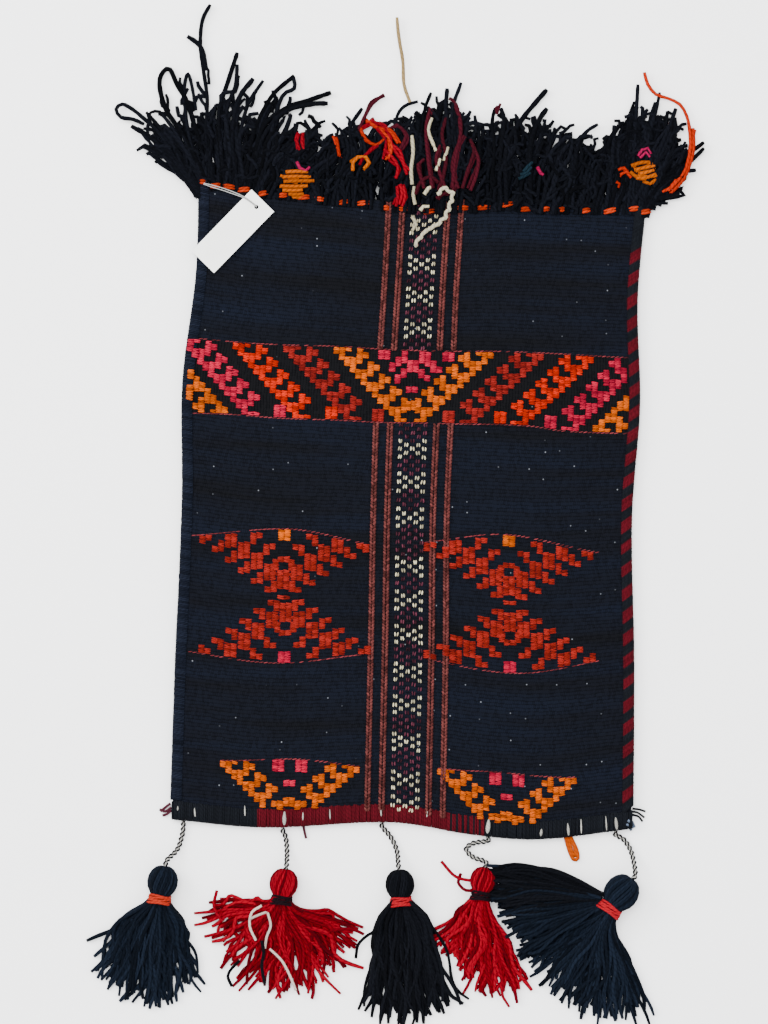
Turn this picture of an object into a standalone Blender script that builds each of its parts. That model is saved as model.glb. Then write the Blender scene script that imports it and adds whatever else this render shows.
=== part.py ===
"""Woven saddle bag pouch lying on its back: two cloths bound together at the sides and the foot, a
brocaded front, an open mouth with its warp ends left as a fringe, five tassels at the foot, and a
blank card tag. Metres, +Z up, +Y towards the fringe. The origin is on the underside of the back."""

import math

import bmesh
import bpy
from mathutils import Vector
from mathutils.geometry import delaunay_2d_cdt

# The bag's cloth. Places on it are s, across from its left edge, and t, up from its foot.
BAG_LENGTH = 0.4325
BAG_WIDTH = 0.315
CLOTH_THICK = 0.0024
POCKET_DEPTH = 0.0090
CLEAR = 0.0003
RELIEF = 0.0008
LEAN = ((0, -0.0038), (0.3, -0.0012), (0.5, 0.0), (0.72, 0.0038), (1, 0.0107))
SPREAD = ((0, 0.003), (0.25, 0.0015), (0.5, -0.0016), (0.68, 0.001), (0.85, -0.0045), (1, -0.0027))
MOUTH_SAG = ((0, 0.0168), (0.14, 0.0098), (0.32, 0.0035), (0.457, -0.0014), (0.69, 0.0012), (1, -0.0035))
FOOT_SAG = ((0, 0.0014), (0.2, -0.0042), (0.48, -0.0007), (0.66, -0.0095), (0.8, -0.0125), (1, -0.0052))
EDGE_STEPS = 18
INNER_COLUMNS = 5
INNER_ROWS = 8
LIFT_RUN = 0.020

# Yarn bindings round the two cloths' edges.
WRAP_THICK = 0.0012
SIDE_LEG = 0.0056
HEM_LEG = 0.0108
SIDE_STRIPE = 0.0156
PLAIN_STRIPE = 0.0310
SIDE_SLANT = 0.0030
HEM_WRAP = 0.0140
HEM_RED_FROM = 0.182
HEM_RED_TO = 0.680

# Brocade, laid out in columns of the warp and rows of the floats.
COLUMN = 0.0041
ROW = 0.0021
BAND_TOP = 0.3260
BAND_BOTTOM = 0.2765
COMB_FIRST = 0.0525
COMB_SPACING = 0.0353
COMB_COLOURS = ("yellow", "rust", "orange", "pink", "yellow")
FOOT_SQUARE_REACH = 0.0165
FAN_TOP = 0.1950
FAN_BOTTOM = 0.1135
FAN_SPACING = 0.0790
FAN_STEPS = 4
BOWL_TOP = 0.0400
BOWL_SPACING = 0.0770
CROSS_WIDTH = 0.0205
CROSS_HEIGHT = 0.0140
CROSS_ARM = 0.0032
CROSS_PITCH = 0.0241
STRIPES = ((0.0161, 0.0049), (0.0259, 0.0042))
STITCH_LENGTH = 0.0082
STITCH_WIDTH = 0.0036
STITCH_PITCH = 0.0142
STITCH_INSET = 0.0062

# Fringe of warp ends: the locks' lengths from left to right, and the leans of the outer two.
LOCK_LENGTHS = (0.072, 0.094, 0.116, 0.080, 0.070, 0.074, 0.082, 0.086, 0.080, 0.088, 0.094, 0.066)
LOCK_LEAN_LEFT = 46.0
LOCK_LEAN_RIGHT = -47.0
LOCK_DEPTH = 0.0048
BACK_FRINGE_LENGTH = 0.036
BACK_FRINGE_DEPTH = 0.0019
BACK_FRINGE_TEETH = 10

# Tassels: where the cord leaves the hem, then the cord's route and the head, both measured from the
# foot's line, and the skirt of yarns.
CORD_WIDTH = 0.0030
TIE_YARN = 0.0028
NECK_SHARE = 0.56
SKIRT_DEPTH = 0.0092
TASSELS = (
    dict(name="tassel_1", exit=-0.1568, route=((-0.1575, -0.0113), (-0.1610, -0.0217)),
         head=(-0.1708, -0.0434), size=0.0109, heading=259, spread=36, wool="navy", tie="tie_orange",
         reach=(0.068, 0.076, 0.081, 0.076, 0.062)),
    dict(name="tassel_2", exit=-0.0868, route=((-0.0849, -0.0138), (-0.0840, -0.0237)),
         head=(-0.0861, -0.0449), size=0.0101, heading=262, spread=72, wool="red", tie="tie_dark",
         reach=(0.056, 0.062, 0.073, 0.071, 0.050)),
    dict(name="tassel_3", exit=-0.0175, route=((-0.0112, -0.0134), (-0.0070, -0.0227)),
         head=(-0.0049, -0.0455), size=0.0103, heading=275, spread=18, wool="black", tie="tie_red",
         reach=(0.078, 0.086, 0.090, 0.088, 0.080)),
    dict(name="tassel_4", exit=0.0567, route=((0.0469, -0.0173), (0.0415, -0.0212), (0.0462, -0.0267)),
         head=(0.0532, -0.0428), size=0.0091, heading=262, spread=27, wool="red", tie="tie_dark",
         reach=(0.042, 0.052, 0.064, 0.075, 0.079)),
    dict(name="tassel_5", exit=0.1463, route=((0.1519, -0.0148), (0.1573, -0.0237)),
         head=(0.1498, -0.0512), size=0.0125, heading=233, spread=48, wool="navy", tie="tie_red",
         reach=(0.054, 0.062, 0.072, 0.077, 0.074)),
)

# Card tag with its thread, and a loose yarn, with their places measured from the mouth's line.
TAG_LENGTH = 0.0600
TAG_WIDTH = 0.0220
TAG_THICK = 0.0005
TAG_HOLE = 0.0030
TAG_TURN = 45.5
TAG_CENTRE = (-0.1218, -0.0215)
THREAD_WIDTH = 0.0011
THREAD_ROUTE = ((-0.1052, -0.0043), (-0.1105, -0.0002), (-0.1166, 0.0033), (-0.1290, 0.0078), (-0.1420, 0.0116))
YARN_WIDTH = 0.0030
CREAM_ROUTE = ((0.0205, -0.0088), (0.0290, -0.0093), (0.0290, -0.0152), (0.0231, -0.0202), (0.0126, -0.0267),
               (0.0056, -0.0348))

# Colours as linear red, green and blue.
COLOURS = dict(
    navy=(0.010, 0.017, 0.032), black=(0.010, 0.011, 0.013), binding_red=(0.110, 0.012, 0.022),
    stripe=(0.230, 0.060, 0.050), pink=(0.740, 0.070, 0.110), orange=(0.860, 0.100, 0.008),
    yellow=(0.830, 0.310, 0.012), rust=(0.560, 0.045, 0.040), brick=(0.700, 0.065, 0.018),
    cream=(0.760, 0.680, 0.460), red=(0.450, 0.012, 0.018), tie_orange=(0.800, 0.090, 0.015),
    tie_red=(0.620, 0.030, 0.020), tie_dark=(0.014, 0.012, 0.013), cord=(0.120, 0.115, 0.110),
    card=(0.780, 0.780, 0.750), thread=(0.800, 0.800, 0.780))

CENTRE = BAG_WIDTH / 2
SIDE_FLAT = SIDE_LEG + 0.001
FOOT_FLAT = HEM_LEG + 0.001
LIFT = WRAP_THICK + CLEAR


def from_mouth(place):
    """Place on the table of one measured from the mouth's line."""
    return place[0], BAG_LENGTH / 2 + place[1]


def from_foot(place):
    """Place on the table of one measured from the foot's line."""
    return place[0], place[1] - BAG_LENGTH / 2


def material(colour):
    """The yarn or card material of that colour, made once."""
    made = bpy.data.materials.get(colour)
    if made is None:
        made = bpy.data.materials.new(colour)
        made.use_nodes = True
        shader = made.node_tree.nodes["Principled BSDF"]
        shader.inputs["Base Color"].default_value = (*COLOURS[colour], 1)
        shader.inputs["Roughness"].default_value = 0.65 if colour == "card" else 0.92
        shader.inputs["Metallic"].default_value = 0.0
    return made


def keep(name, mesh, colours):
    """Put a mesh into the bag's collection under its name, with its materials."""
    piece = bpy.data.objects.new(name, mesh)
    mesh.name = name
    for colour in colours:
        mesh.materials.append(material(colour))
    bag.objects.link(piece)
    return piece


def curve_value(points, x):
    """Value at x of the smooth curve through the points, level with its end points outside them."""
    if x <= points[0][0]:
        return points[0][1]
    if x >= points[-1][0]:
        return points[-1][1]
    last = len(points) - 1
    k = max(i for i in range(last) if points[i][0] <= x)
    slopes = []
    for i in (k, k + 1):
        before, after = points[max(i - 1, 0)], points[min(i + 1, last)]
        slopes.append((after[1] - before[1]) / (after[0] - before[0]))
    (x0, y0), (x1, y1) = points[k], points[k + 1]
    run = x1 - x0
    q = (x - x0) / run
    return ((2 * q ** 3 - 3 * q ** 2 + 1) * y0 + (q ** 3 - 2 * q ** 2 + q) * run * slopes[0]
            + (3 * q ** 2 - 2 * q ** 3) * y1 + (q ** 3 - q ** 2) * run * slopes[1])


def ease(q):
    """Smooth step from 0 to 1."""
    q = min(max(q, 0.0), 1.0)
    return q * q * (3 - 2 * q)


def cloth_point(s, t):
    """Place on the table of a place on the cloth."""
    u, v = s / BAG_WIDTH, t / BAG_LENGTH
    x = curve_value(LEAN, v) + (u - 0.5) * (BAG_WIDTH + 2 * curve_value(SPREAD, v))
    y = (v - 0.5) * BAG_LENGTH + (1 - v) * curve_value(FOOT_SAG, u) + v * curve_value(MOUTH_SAG, u)
    return x, y


def cloth_place(x, y):
    """Place on the cloth of a place on the table."""
    s, t = CENTRE + x, BAG_LENGTH / 2 + y
    for _ in range(8):
        at_x, at_y = cloth_point(s, t)
        s, t = s + x - at_x, t + y - at_y
    return s, t


def back_low(s, t):
    """Underside of the back cloth: flat on the table, lifted at the edges by the binding's lower leg."""
    side = 1 - ease((min(s, BAG_WIDTH - s) - SIDE_FLAT) / LIFT_RUN)
    foot = 1 - ease((t - FOOT_FLAT) / LIFT_RUN)
    return LIFT * max(side, foot)


def back_high(s, t):
    return back_low(s, t) + CLOTH_THICK


def front_low(s, t):
    """Inside of the front cloth, which stands off the back cloth towards the middle and the mouth."""
    side = (min(s, BAG_WIDTH - s) - SIDE_FLAT) / (CENTRE - SIDE_FLAT)
    foot = (t - FOOT_FLAT) / (0.4 * BAG_LENGTH)
    across = 1 - (1 - min(max(side, 0), 1)) ** 2.2
    along = 1 - (1 - min(max(foot, 0), 1)) ** 2.4
    return back_high(s, t) + CLEAR + POCKET_DEPTH * across * along


def front_high(s, t):
    return front_low(s, t) + CLOTH_THICK


def spaced(first, last, count):
    """Evenly spaced values from first to last, both included."""
    return [first + (last - first) * k / (count - 1) for k in range(count)]


def cloth_outline():
    """The cloth's edge as places in order, from the left end of the foot anticlockwise."""
    across = spaced(0, BAG_WIDTH, EDGE_STEPS + 1)
    along = spaced(0, BAG_LENGTH, EDGE_STEPS + 1)
    foot = [(s, 0) for s in across[:-1]]
    right = [(BAG_WIDTH, t) for t in along[:-1]]
    mouth = [(s, BAG_LENGTH) for s in reversed(across[1:])]
    left = [(0, t) for t in reversed(along[1:])]
    return foot + right + mouth + left


def cloth_support():
    """Places inside the edge that carry the cloth's shape: a rim clear of the bindings, and a net."""
    near_foot = FOOT_FLAT + LIFT_RUN
    near_side = SIDE_FLAT + LIFT_RUN
    top = BAG_LENGTH - 0.5 * LIFT_RUN
    rim = [(s, FOOT_FLAT) for s in spaced(SIDE_FLAT, BAG_WIDTH - SIDE_FLAT, EDGE_STEPS - 1)]
    for t in spaced(near_foot, top, EDGE_STEPS - 2):
        rim += [(SIDE_FLAT, t), (BAG_WIDTH - SIDE_FLAT, t)]
    net = [(s, t) for s in spaced(near_side, BAG_WIDTH - near_side, INNER_COLUMNS)
           for t in spaced(near_foot, top, INNER_ROWS)]
    return rim + net


def inside(place, corners):
    """Whether a place lies inside a closed outline."""
    crossings = 0
    for (s0, t0), (s1, t1) in zip(corners, corners[1:] + corners[:1]):
        if (t0 > place[1]) != (t1 > place[1]):
            crossings += place[0] < s0 + (place[1] - t0) * (s1 - s0) / (t1 - t0)
    return crossings % 2 == 1


def triangles_over(patches):
    """Triangles over the cloth whose edges follow every patch's outline."""
    outline = cloth_outline()
    points = list(outline)
    edges = [(k, (k + 1) % len(outline)) for k in range(len(outline))]
    for corners, _ in patches:
        start = len(points)
        points += corners
        edges += [(start + k, start + (k + 1) % len(corners)) for k in range(len(corners))]
    points += cloth_support()
    flat = [Vector(p) for p in points]
    places, _, faces = delaunay_2d_cdt(flat, edges, [list(range(len(outline)))], 1, 1e-6)[:3]
    return [tuple(p) for p in places], faces


def cloth(name, low, high, colour, patches=()):
    """One woven cloth between two height functions, with the patches of brocade raised on its top."""
    bm = bmesh.new()
    loops = []
    for height, design, facing in ((low, (), -1), (high, patches, 1)):
        places, faces = triangles_over(design)
        verts = [bm.verts.new((*cloth_point(s, t), height(s, t))) for s, t in places]
        for face in faces:
            bm.faces.new([verts[k] for k in face[::facing]])
        loop = []
        for s, t in cloth_outline():
            nearest = min(range(len(places)), key=lambda k: math.dist(places[k], (s, t)))
            loop.append(verts[nearest])
        loops.append(loop)
        if design:
            raised = patch_faces(bm, places, verts, faces, design)
    count = len(loops[0])
    for k in range(count):
        bm.faces.new((loops[0][k], loops[0][(k + 1) % count], loops[1][(k + 1) % count], loops[1][k]))
    if patches:
        lifted = bmesh.ops.extrude_face_region(bm, geom=raised)["geom"]
        verts = [v for v in lifted if isinstance(v, bmesh.types.BMVert)]
        bmesh.ops.translate(bm, verts=verts, vec=(0, 0, RELIEF))
        bmesh.ops.delete(bm, geom=raised, context="FACES")
    bmesh.ops.recalc_face_normals(bm, faces=bm.faces[:])
    mesh = bpy.data.meshes.new(name)
    bm.to_mesh(mesh)
    bm.free()
    return keep(name, mesh, [colour] + brocade_colours(patches))


def brocade_colours(patches):
    """The patches' colours, each once, in the order that their faces number them."""
    return sorted({colour for _, colour in patches})


def patch_faces(bm, places, verts, faces, patches):
    """Colour the triangles that lie in a patch, and return them."""
    numbers = {colour: k + 1 for k, colour in enumerate(brocade_colours(patches))}
    found = []
    for face in faces:
        middle = (sum(places[k][0] for k in face) / 3, sum(places[k][1] for k in face) / 3)
        for corners, colour in patches:
            if inside(middle, corners):
                triangle = bm.faces.get([verts[k] for k in face])
                triangle.material_index = numbers[colour]
                found.append(triangle)
                break
    return found


def block(first, last, top, bottom):
    """Corners of a block of float columns and rows, columns out from the middle, rows inwards."""
    return [(first, bottom), (last, bottom), (last, top), (first, top)]


def laid(blocks, s, t, side, down, colour):
    """Lay blocks out on the cloth from the place s, t, mirrored by side and down."""
    rim = SIDE_FLAT + CLEAR
    patches = []
    for corners in blocks:
        placed = []
        for column, row in corners:
            across = s + side * column * COLUMN
            along = t - down * max(row, 0) * ROW
            across = min(max(across, rim), BAG_WIDTH - rim)
            placed.append((across, max(along, FOOT_FLAT + CLEAR)))
        width = max(p[0] for p in placed) - min(p[0] for p in placed)
        height = max(p[1] for p in placed) - min(p[1] for p in placed)
        if width > COLUMN / 4 and height > ROW / 4:
            patches.append((placed, colour))
    return patches


def comb_blocks(steps, top):
    """Stepped bar that runs inwards row by row, with a hooked barb on the inner side of each step."""
    blocks = []
    for step in range(steps):
        column, row = 2 * step, 4 * step + top
        blocks.append(block(column, column + 2, row, row + 5))
        blocks.append(block(column + 2, column + 3, row - 2, row + 2))
        blocks.append(block(column + 3, column + 4, row - 2, row))
    return blocks


def comb_band():
    """The band's slanting combs, mirrored about the middle, with a square beyond each comb's foot."""
    patches = []
    steps = int(round((BAND_TOP - BAND_BOTTOM) / (4 * ROW)))
    for place, colour in enumerate(COMB_COLOURS):
        start = COMB_FIRST + place * COMB_SPACING
        blocks = [b for b in comb_blocks(steps, 0) if (b[1][0]) * COLUMN < start - CROSS_ARM]
        for side in (-1, 1):
            patches += laid(blocks, CENTRE + side * start, BAND_TOP, -side, 1, colour)
            reach = start - 2 * steps * COLUMN - FOOT_SQUARE_REACH
            if reach > COLUMN:
                foot = square(CENTRE + side * reach, BAND_BOTTOM + 1.5 * ROW, 2 * COLUMN, 3 * ROW)
                patches.append((foot, colour))
    top = BAND_TOP - 2 * ROW
    patches.append((cross(CENTRE, top - 5 * ROW, 6 * COLUMN, 10 * ROW, 1.3 * COLUMN), "pink"))
    for side in (-1, 1):
        patches.append((square(CENTRE + side * 0.0224, top, 2 * COLUMN, 3 * ROW), "pink"))
    return patches


def fans():
    """Two pairs of fans, each a mirrored zigzag with hooks on both sides, wide at the outer line."""
    blocks = []
    for k in range(FAN_STEPS + 1):
        column, row = 2 * k, 4 * (FAN_STEPS - 1 - k)
        blocks.append(block(column, column + 2, row, row + 5))
        blocks.append(block(column + 2, column + 3.6, row + 4, row + 7))
        if k > 0:
            blocks.append(block(column - 1.6, column, row - 2, row + 1))
    patches = []
    for middle in (CENTRE - FAN_SPACING, CENTRE + FAN_SPACING):
        for start, down, colour in ((FAN_TOP, 1, "yellow"), (FAN_BOTTOM, -1, "pink")):
            for side in (-1, 1):
                patches += laid(blocks, middle, start, side, down, "brick")
            patches.append((square(middle, start - down * 1.5 * ROW, 2.5 * COLUMN, 3 * ROW), colour))
    return patches


def bowls():
    """Two hooked bowls at the foot, each with two squares under its rim and a bar in its hollow."""
    patches = []
    for middle in (CENTRE - BOWL_SPACING, CENTRE + BOWL_SPACING):
        for side in (-1, 1):
            start = middle + side * 10 * COLUMN
            patches += laid(comb_blocks(3, 0), start, BOWL_TOP, -side, 1, "yellow")
        for side in (-1, 1):
            patches.append((square(middle + side * 0.009, BOWL_TOP - 1.5 * ROW, 2 * COLUMN, 3 * ROW), "pink"))
        patches.append((square(middle, BOWL_TOP - 7 * ROW, 2.6 * COLUMN, 2 * ROW), "pink"))
    return patches


def square(s, t, width, height):
    """Corners of a block about its middle."""
    a, b = width / 2, height / 2
    return [(s - a, t - b), (s + a, t - b), (s + a, t + b), (s - a, t + b)]


def cross(s, t, width, height, arm):
    """Corners of a slanting cross about its middle."""
    a, b = width / 2, height / 2
    m, n = arm * 0.55, arm * 0.45
    right = [(a - m, -b), (a, -b + n), (m, 0), (a, b - n), (a - m, b), (0, n)]
    left = [(-a + m, b), (-a, b - n), (-m, 0), (-a, -b + n), (-a + m, -b), (0, -n)]
    return [(s + p, t + q) for p, q in right + left]


def centre_stripes():
    """Two warp stripes on each side of a column of crosses, broken where the band crosses them."""
    patches = []
    edge = 2 * ROW
    spans = ((FOOT_FLAT + CLEAR, BAND_BOTTOM - edge),
             (BAND_TOP + edge, BAG_LENGTH - STITCH_INSET - STITCH_WIDTH))
    for low, high in spans:
        pieces = max(2, int(round((high - low) / (2 * CROSS_PITCH))))
        levels = spaced(low, high, pieces + 1)
        for offset, width in STRIPES:
            for side in (-1, 1):
                s = CENTRE + side * offset
                up = [(s + width / 2, t) for t in levels]
                down = [(s - width / 2, t) for t in reversed(levels)]
                patches.append((up + down, "stripe"))
        count = int((high - low) / CROSS_PITCH)
        for k in range(count):
            t = low + (high - low) * (k + 0.5) / count
            patches.append((cross(CENTRE, t, CROSS_WIDTH, CROSS_HEIGHT, CROSS_ARM), "cream"))
    return patches


def mouth_stitches():
    """Running stitches along the front cloth's mouth edge."""
    run = BAG_WIDTH - 2 * (SIDE_FLAT + STITCH_LENGTH)
    count = int(run / STITCH_PITCH) + 1
    first = CENTRE - (count - 1) * STITCH_PITCH / 2
    places = [first + k * STITCH_PITCH for k in range(count)]
    return [(square(s, BAG_LENGTH - STITCH_INSET, STITCH_LENGTH, STITCH_WIDTH), "orange") for s in places]


def loft(name, rings, colours, face_colour=None):
    """Closed skin over rings of points, with a cap at each end."""
    bm = bmesh.new()
    verts = [[bm.verts.new(p) for p in ring] for ring in rings]
    count = len(rings[0])
    for k in range(len(verts) - 1):
        for i in range(count):
            j = (i + 1) % count
            face = bm.faces.new((verts[k][i], verts[k][j], verts[k + 1][j], verts[k + 1][i]))
            if face_colour:
                face.material_index = face_colour(k)
    bm.faces.new(verts[0])
    bm.faces.new(verts[-1])
    bmesh.ops.recalc_face_normals(bm, faces=bm.faces[:])
    mesh = bpy.data.meshes.new(name)
    bm.to_mesh(mesh)
    bm.free()
    return keep(name, mesh, colours)


def wrap_section(leg, crest, low, high):
    """C section of a binding, as distance in from the cloth's edge and height: inside, then outside."""
    thick = WRAP_THICK * crest
    over, under = high + CLEAR, low - CLEAR
    inner = [(leg, over), (-CLEAR, over), (-CLEAR, under), (leg, under)]
    outer = [(leg, under - thick), (-CLEAR - 0.4 * thick, under - thick), (-CLEAR - thick, (over + under) / 2),
             (-CLEAR - 0.4 * thick, over + thick), (leg, over + thick)]
    return inner, outer


def side_binding(name, right):
    """Overcast yarn up one side, in slanting stripes of two colours."""
    bottom, top = HEM_LEG + 2 * CLEAR, BAG_LENGTH
    count = 2 * int(round((top - bottom) / (SIDE_STRIPE if right else PLAIN_STRIPE)))
    rings = []
    for k in range(count + 1):
        t = bottom + (top - bottom) * k / count
        slant = SIDE_SLANT * min(1, k / 4, (count - k) / 4)
        crest = 1.0 if k % 2 else 0.7
        edge = BAG_WIDTH if right else 0
        inner, outer = wrap_section(SIDE_LEG, crest, back_low(edge, t), front_high(edge, t))
        ring = []
        for depth, z in inner:
            ring.append((*cloth_point(BAG_WIDTH - depth if right else depth, t), z))
        for depth, z in outer:
            up = t + slant * (0.5 - depth / SIDE_LEG)
            ring.append((*cloth_point(BAG_WIDTH - depth if right else depth, up), z))
        rings.append(ring)
    return loft(name, rings, ["black", "binding_red"] if right else ["black"], lambda k: k % 2 if right else 0)


def hem_binding(name, first, last, colour):
    """Overcast yarn along a stretch of the foot, each wrap a ridge across the edge."""
    count = 2 * max(1, int(round((last - first) / HEM_WRAP)))
    rings = []
    for k in range(count + 1):
        s = first + (last - first) * k / count
        inner, outer = wrap_section(HEM_LEG, 1.0 if k % 2 else 0.7, back_low(s, 0), front_high(s, 0))
        rings.append([(*cloth_point(s, depth), z) for depth, z in inner + outer])
    return loft(name, rings, [colour])


def smooth_route(points, step):
    """Points about a step apart on the smooth curve through the given ones."""
    spots = [Vector(p) for p in points]
    spots = [2 * spots[0] - spots[1]] + spots + [2 * spots[-1] - spots[-2]]
    route = []
    for k in range(1, len(spots) - 2):
        a, b, c, d = spots[k - 1:k + 3]
        parts = max(1, int(round((c - b).length / step)))
        for i in range(parts):
            q = i / parts
            route.append(0.5 * (2 * b + (c - a) * q + (2 * a - 5 * b + 4 * c - d) * q ** 2
                                + (3 * b - a - 3 * c + d) * q ** 3))
    return route + [spots[-2]]


def cord(name, points, width, colour):
    """Plain tube along the smooth curve through the points."""
    data = bpy.data.curves.new(name, "CURVE")
    data.dimensions = "3D"
    data.bevel_depth = width / 2
    data.bevel_resolution = 2
    data.use_fill_caps = True
    route = smooth_route(points, 2.8 * width)
    spline = data.splines.new("POLY")
    spline.points.add(len(route) - 1)
    for spot, place in zip(spline.points, route):
        spot.co = (*place, 1)
    data.materials.append(material(colour))
    piece = bpy.data.objects.new(name, data)
    bag.objects.link(piece)
    return piece


def tassel_place(tassel, along, across):
    """Place on the table, measured from the head's middle along and across the tassel's heading."""
    heading = math.radians(tassel["heading"])
    x, y = from_foot(tassel["head"])
    return (x + along * math.cos(heading) - across * math.sin(heading),
            y + along * math.sin(heading) + across * math.cos(heading))


def tassel_yarns(tassel, sides=12):
    """Head, bound neck and spread skirt of one bunch of yarns that lies on the table."""
    size, spread = tassel["size"], math.radians(tassel["spread"])
    neck = NECK_SHARE * size
    middle = neck + TIE_YARN + 2 * CLEAR
    turns = [2 * math.pi * (k + 0.5) / sides for k in range(sides)]
    rings = []
    for share in (-0.95, -0.7, -0.1, 0.5):
        wide = size * math.sqrt(1 - share ** 2)
        deep = min(wide, middle)
        rings.append([(*tassel_place(tassel, share * size, wide * math.cos(a)), middle + deep * math.sin(a))
                      for a in turns])
    for along in (size, size + TIE_YARN + 2 * CLEAR):
        rings.append([(*tassel_place(tassel, along, neck * math.cos(a)), middle + neck * math.sin(a))
                      for a in turns])
    start = size + TIE_YARN + 2 * CLEAR
    for share, depth in ((0.14, 1.25), (0.4, 1.0), (0.7, 0.78), (1.0, 0.42)):
        ring = []
        for k, a in enumerate(turns):
            side = math.cos(a)
            length = share * curve_value(list(zip((-1, -0.5, 0, 0.5, 1), tassel["reach"])), side)
            deep = 0.5 * SKIRT_DEPTH * depth
            if k % 2:
                deep *= 0.72
                length *= 1 - 0.12 * share ** 4
            along = start + length * math.cos(side * spread)
            across = neck * side * (1 - 0.3 * share) + length * math.sin(side * spread)
            low = 0.5 * SKIRT_DEPTH * depth
            ring.append((*tassel_place(tassel, along, across), low + deep * math.sin(a)))
        rings.append(ring)
    return loft(tassel["name"] + "_yarns", rings, [tassel["wool"]])


def tassel_tie(tassel):
    """Ring of yarn bound round the neck."""
    neck = NECK_SHARE * tassel["size"]
    along = tassel["size"] + 0.5 * TIE_YARN + CLEAR
    x, y = tassel_place(tassel, along, 0)
    turn = math.radians(tassel["heading"] + 90)
    bpy.ops.mesh.primitive_torus_add(
        major_segments=12, minor_segments=4, major_radius=neck + 0.5 * TIE_YARN + 1.6 * CLEAR,
        minor_radius=0.5 * TIE_YARN, rotation=(math.pi / 2, 0, turn),
        location=(x, y, neck + TIE_YARN + 2 * CLEAR))
    piece = bpy.context.object
    piece.name = piece.data.name = tassel["name"] + "_tie"
    piece.data.materials.append(material(tassel["tie"]))
    for holder in list(piece.users_collection):
        holder.objects.unlink(piece)
    bag.objects.link(piece)
    return piece


def tassel_cord(tassel):
    """Braided cord from the hem's outer edge to the crown of the head."""
    s, _ = cloth_place(tassel["exit"], -BAG_LENGTH / 2)
    x, y = cloth_point(s, -WRAP_THICK - 3 * CLEAR)
    hem_middle = LIFT + CLOTH_THICK + CLEAR / 2
    rise = tassel["size"] * NECK_SHARE + TIE_YARN
    crown = (*tassel_place(tassel, -0.95 * tassel["size"] - 2 * CLEAR, 0), rise + 2 * CLEAR)
    lead = (*tassel_place(tassel, -0.95 * tassel["size"] - 1.5 * CORD_WIDTH, 0), rise)
    points = [(x, y, hem_middle), (x, y - CORD_WIDTH, 0.8 * hem_middle)]
    for k, place in enumerate(tassel["route"]):
        points.append((*from_foot(place), 0.5 * CORD_WIDTH + 0.0008 + 0.0012 * k))
    return cord(tassel["name"] + "_cord", points + [lead, crown], CORD_WIDTH, "cord")


def fringe_lock(number):
    """One lock of warp ends from the front cloth's mouth edge, thinning to its tip."""
    count = len(LOCK_LENGTHS)
    length = LOCK_LENGTHS[number]
    width = BAG_WIDTH / count - 2 * CLEAR
    s = BAG_WIDTH * (number + 0.5) / count
    lean = math.radians(LOCK_LEAN_LEFT + (LOCK_LEAN_RIGHT - LOCK_LEAN_LEFT) * number / (count - 1))
    root = Vector(cloth_point(s, BAG_LENGTH + 2 * CLEAR))
    along = Vector((-math.sin(lean), math.cos(lean)))
    left = Vector(cloth_point(s - width / 2, BAG_LENGTH + 2 * CLEAR))
    right = Vector(cloth_point(s + width / 2, BAG_LENGTH + 2 * CLEAR))
    edge = (right - left) / 2
    square_on = Vector((math.cos(lean), math.sin(lean))) * width / 2 * math.cos(lean)
    start = front_low(s, BAG_LENGTH) + CLOTH_THICK / 2
    rings = []
    for share, wide, deep, level in ((0, 1, 0.40, 0), (0.3, 0.98, 0.8, 0.35), (0.6, 0.82, 0.75, 0.6),
                                     (0.85, 0.52, 0.55, 0.88), (1, 0.16, 0.25, 1)):
        sway = 0.16 * width * math.sin(share * 5 + number) * share ** 2
        middle = root + along * length * share + square_on.normalized() * sway
        across = edge.lerp(square_on, min(1, share / 0.3)) * wide
        height = start + (0.7 * LOCK_DEPTH - start) * ease(level)
        ring = []
        for k in range(8):
            a = 2 * math.pi * (k + 0.5) / 8
            spot = middle + across * math.cos(a) / math.cos(math.pi / 8)
            ring.append((spot.x, spot.y, height + 0.5 * LOCK_DEPTH * deep * math.sin(a)))
        rings.append(ring)
    return loft(f"fringe_lock_{number + 1:02d}", rings, ["black"])


def back_fringe():
    """Short ragged strip of warp ends along the back cloth's mouth edge, under the locks."""
    first, last = SIDE_FLAT + LIFT_RUN / 2, BAG_WIDTH - SIDE_FLAT - LIFT_RUN / 2
    root = BAG_LENGTH + 2 * CLEAR
    corners = [(s, root) for s in spaced(first, last, EDGE_STEPS)]
    for k in range(2 * BACK_FRINGE_TEETH + 1):
        share = k / (2 * BACK_FRINGE_TEETH)
        reach = BACK_FRINGE_LENGTH * (1.0 - 0.12 * (k % 3) if k % 2 else 0.55)
        corners.append((last + (first - last) * share, root + reach))
    bm = bmesh.new()
    face = bm.faces.new([bm.verts.new((*cloth_point(s, t), 0)) for s, t in corners])
    bmesh.ops.triangulate(bm, faces=[face])
    upper = bmesh.ops.extrude_face_region(bm, geom=bm.faces[:])["geom"]
    verts = [v for v in upper if isinstance(v, bmesh.types.BMVert)]
    bmesh.ops.translate(bm, verts=verts, vec=(0, 0, BACK_FRINGE_DEPTH))
    bmesh.ops.recalc_face_normals(bm, faces=bm.faces[:])
    mesh = bpy.data.meshes.new("back_fringe")
    bm.to_mesh(mesh)
    bm.free()
    return keep("back_fringe", mesh, ["black"])


def top_of_bag(x, y):
    """Height of the upper side, with its brocade and bindings, over a place on the table."""
    s, t = cloth_place(x, y)
    edge = min(s, BAG_WIDTH - s)
    if edge < -2 * WRAP_THICK or t > BAG_LENGTH:
        return 0.0
    over = CLEAR + WRAP_THICK if edge < SIDE_FLAT or t < FOOT_FLAT else RELIEF
    return front_high(min(max(s, 0), BAG_WIDTH), t) + over


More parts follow.
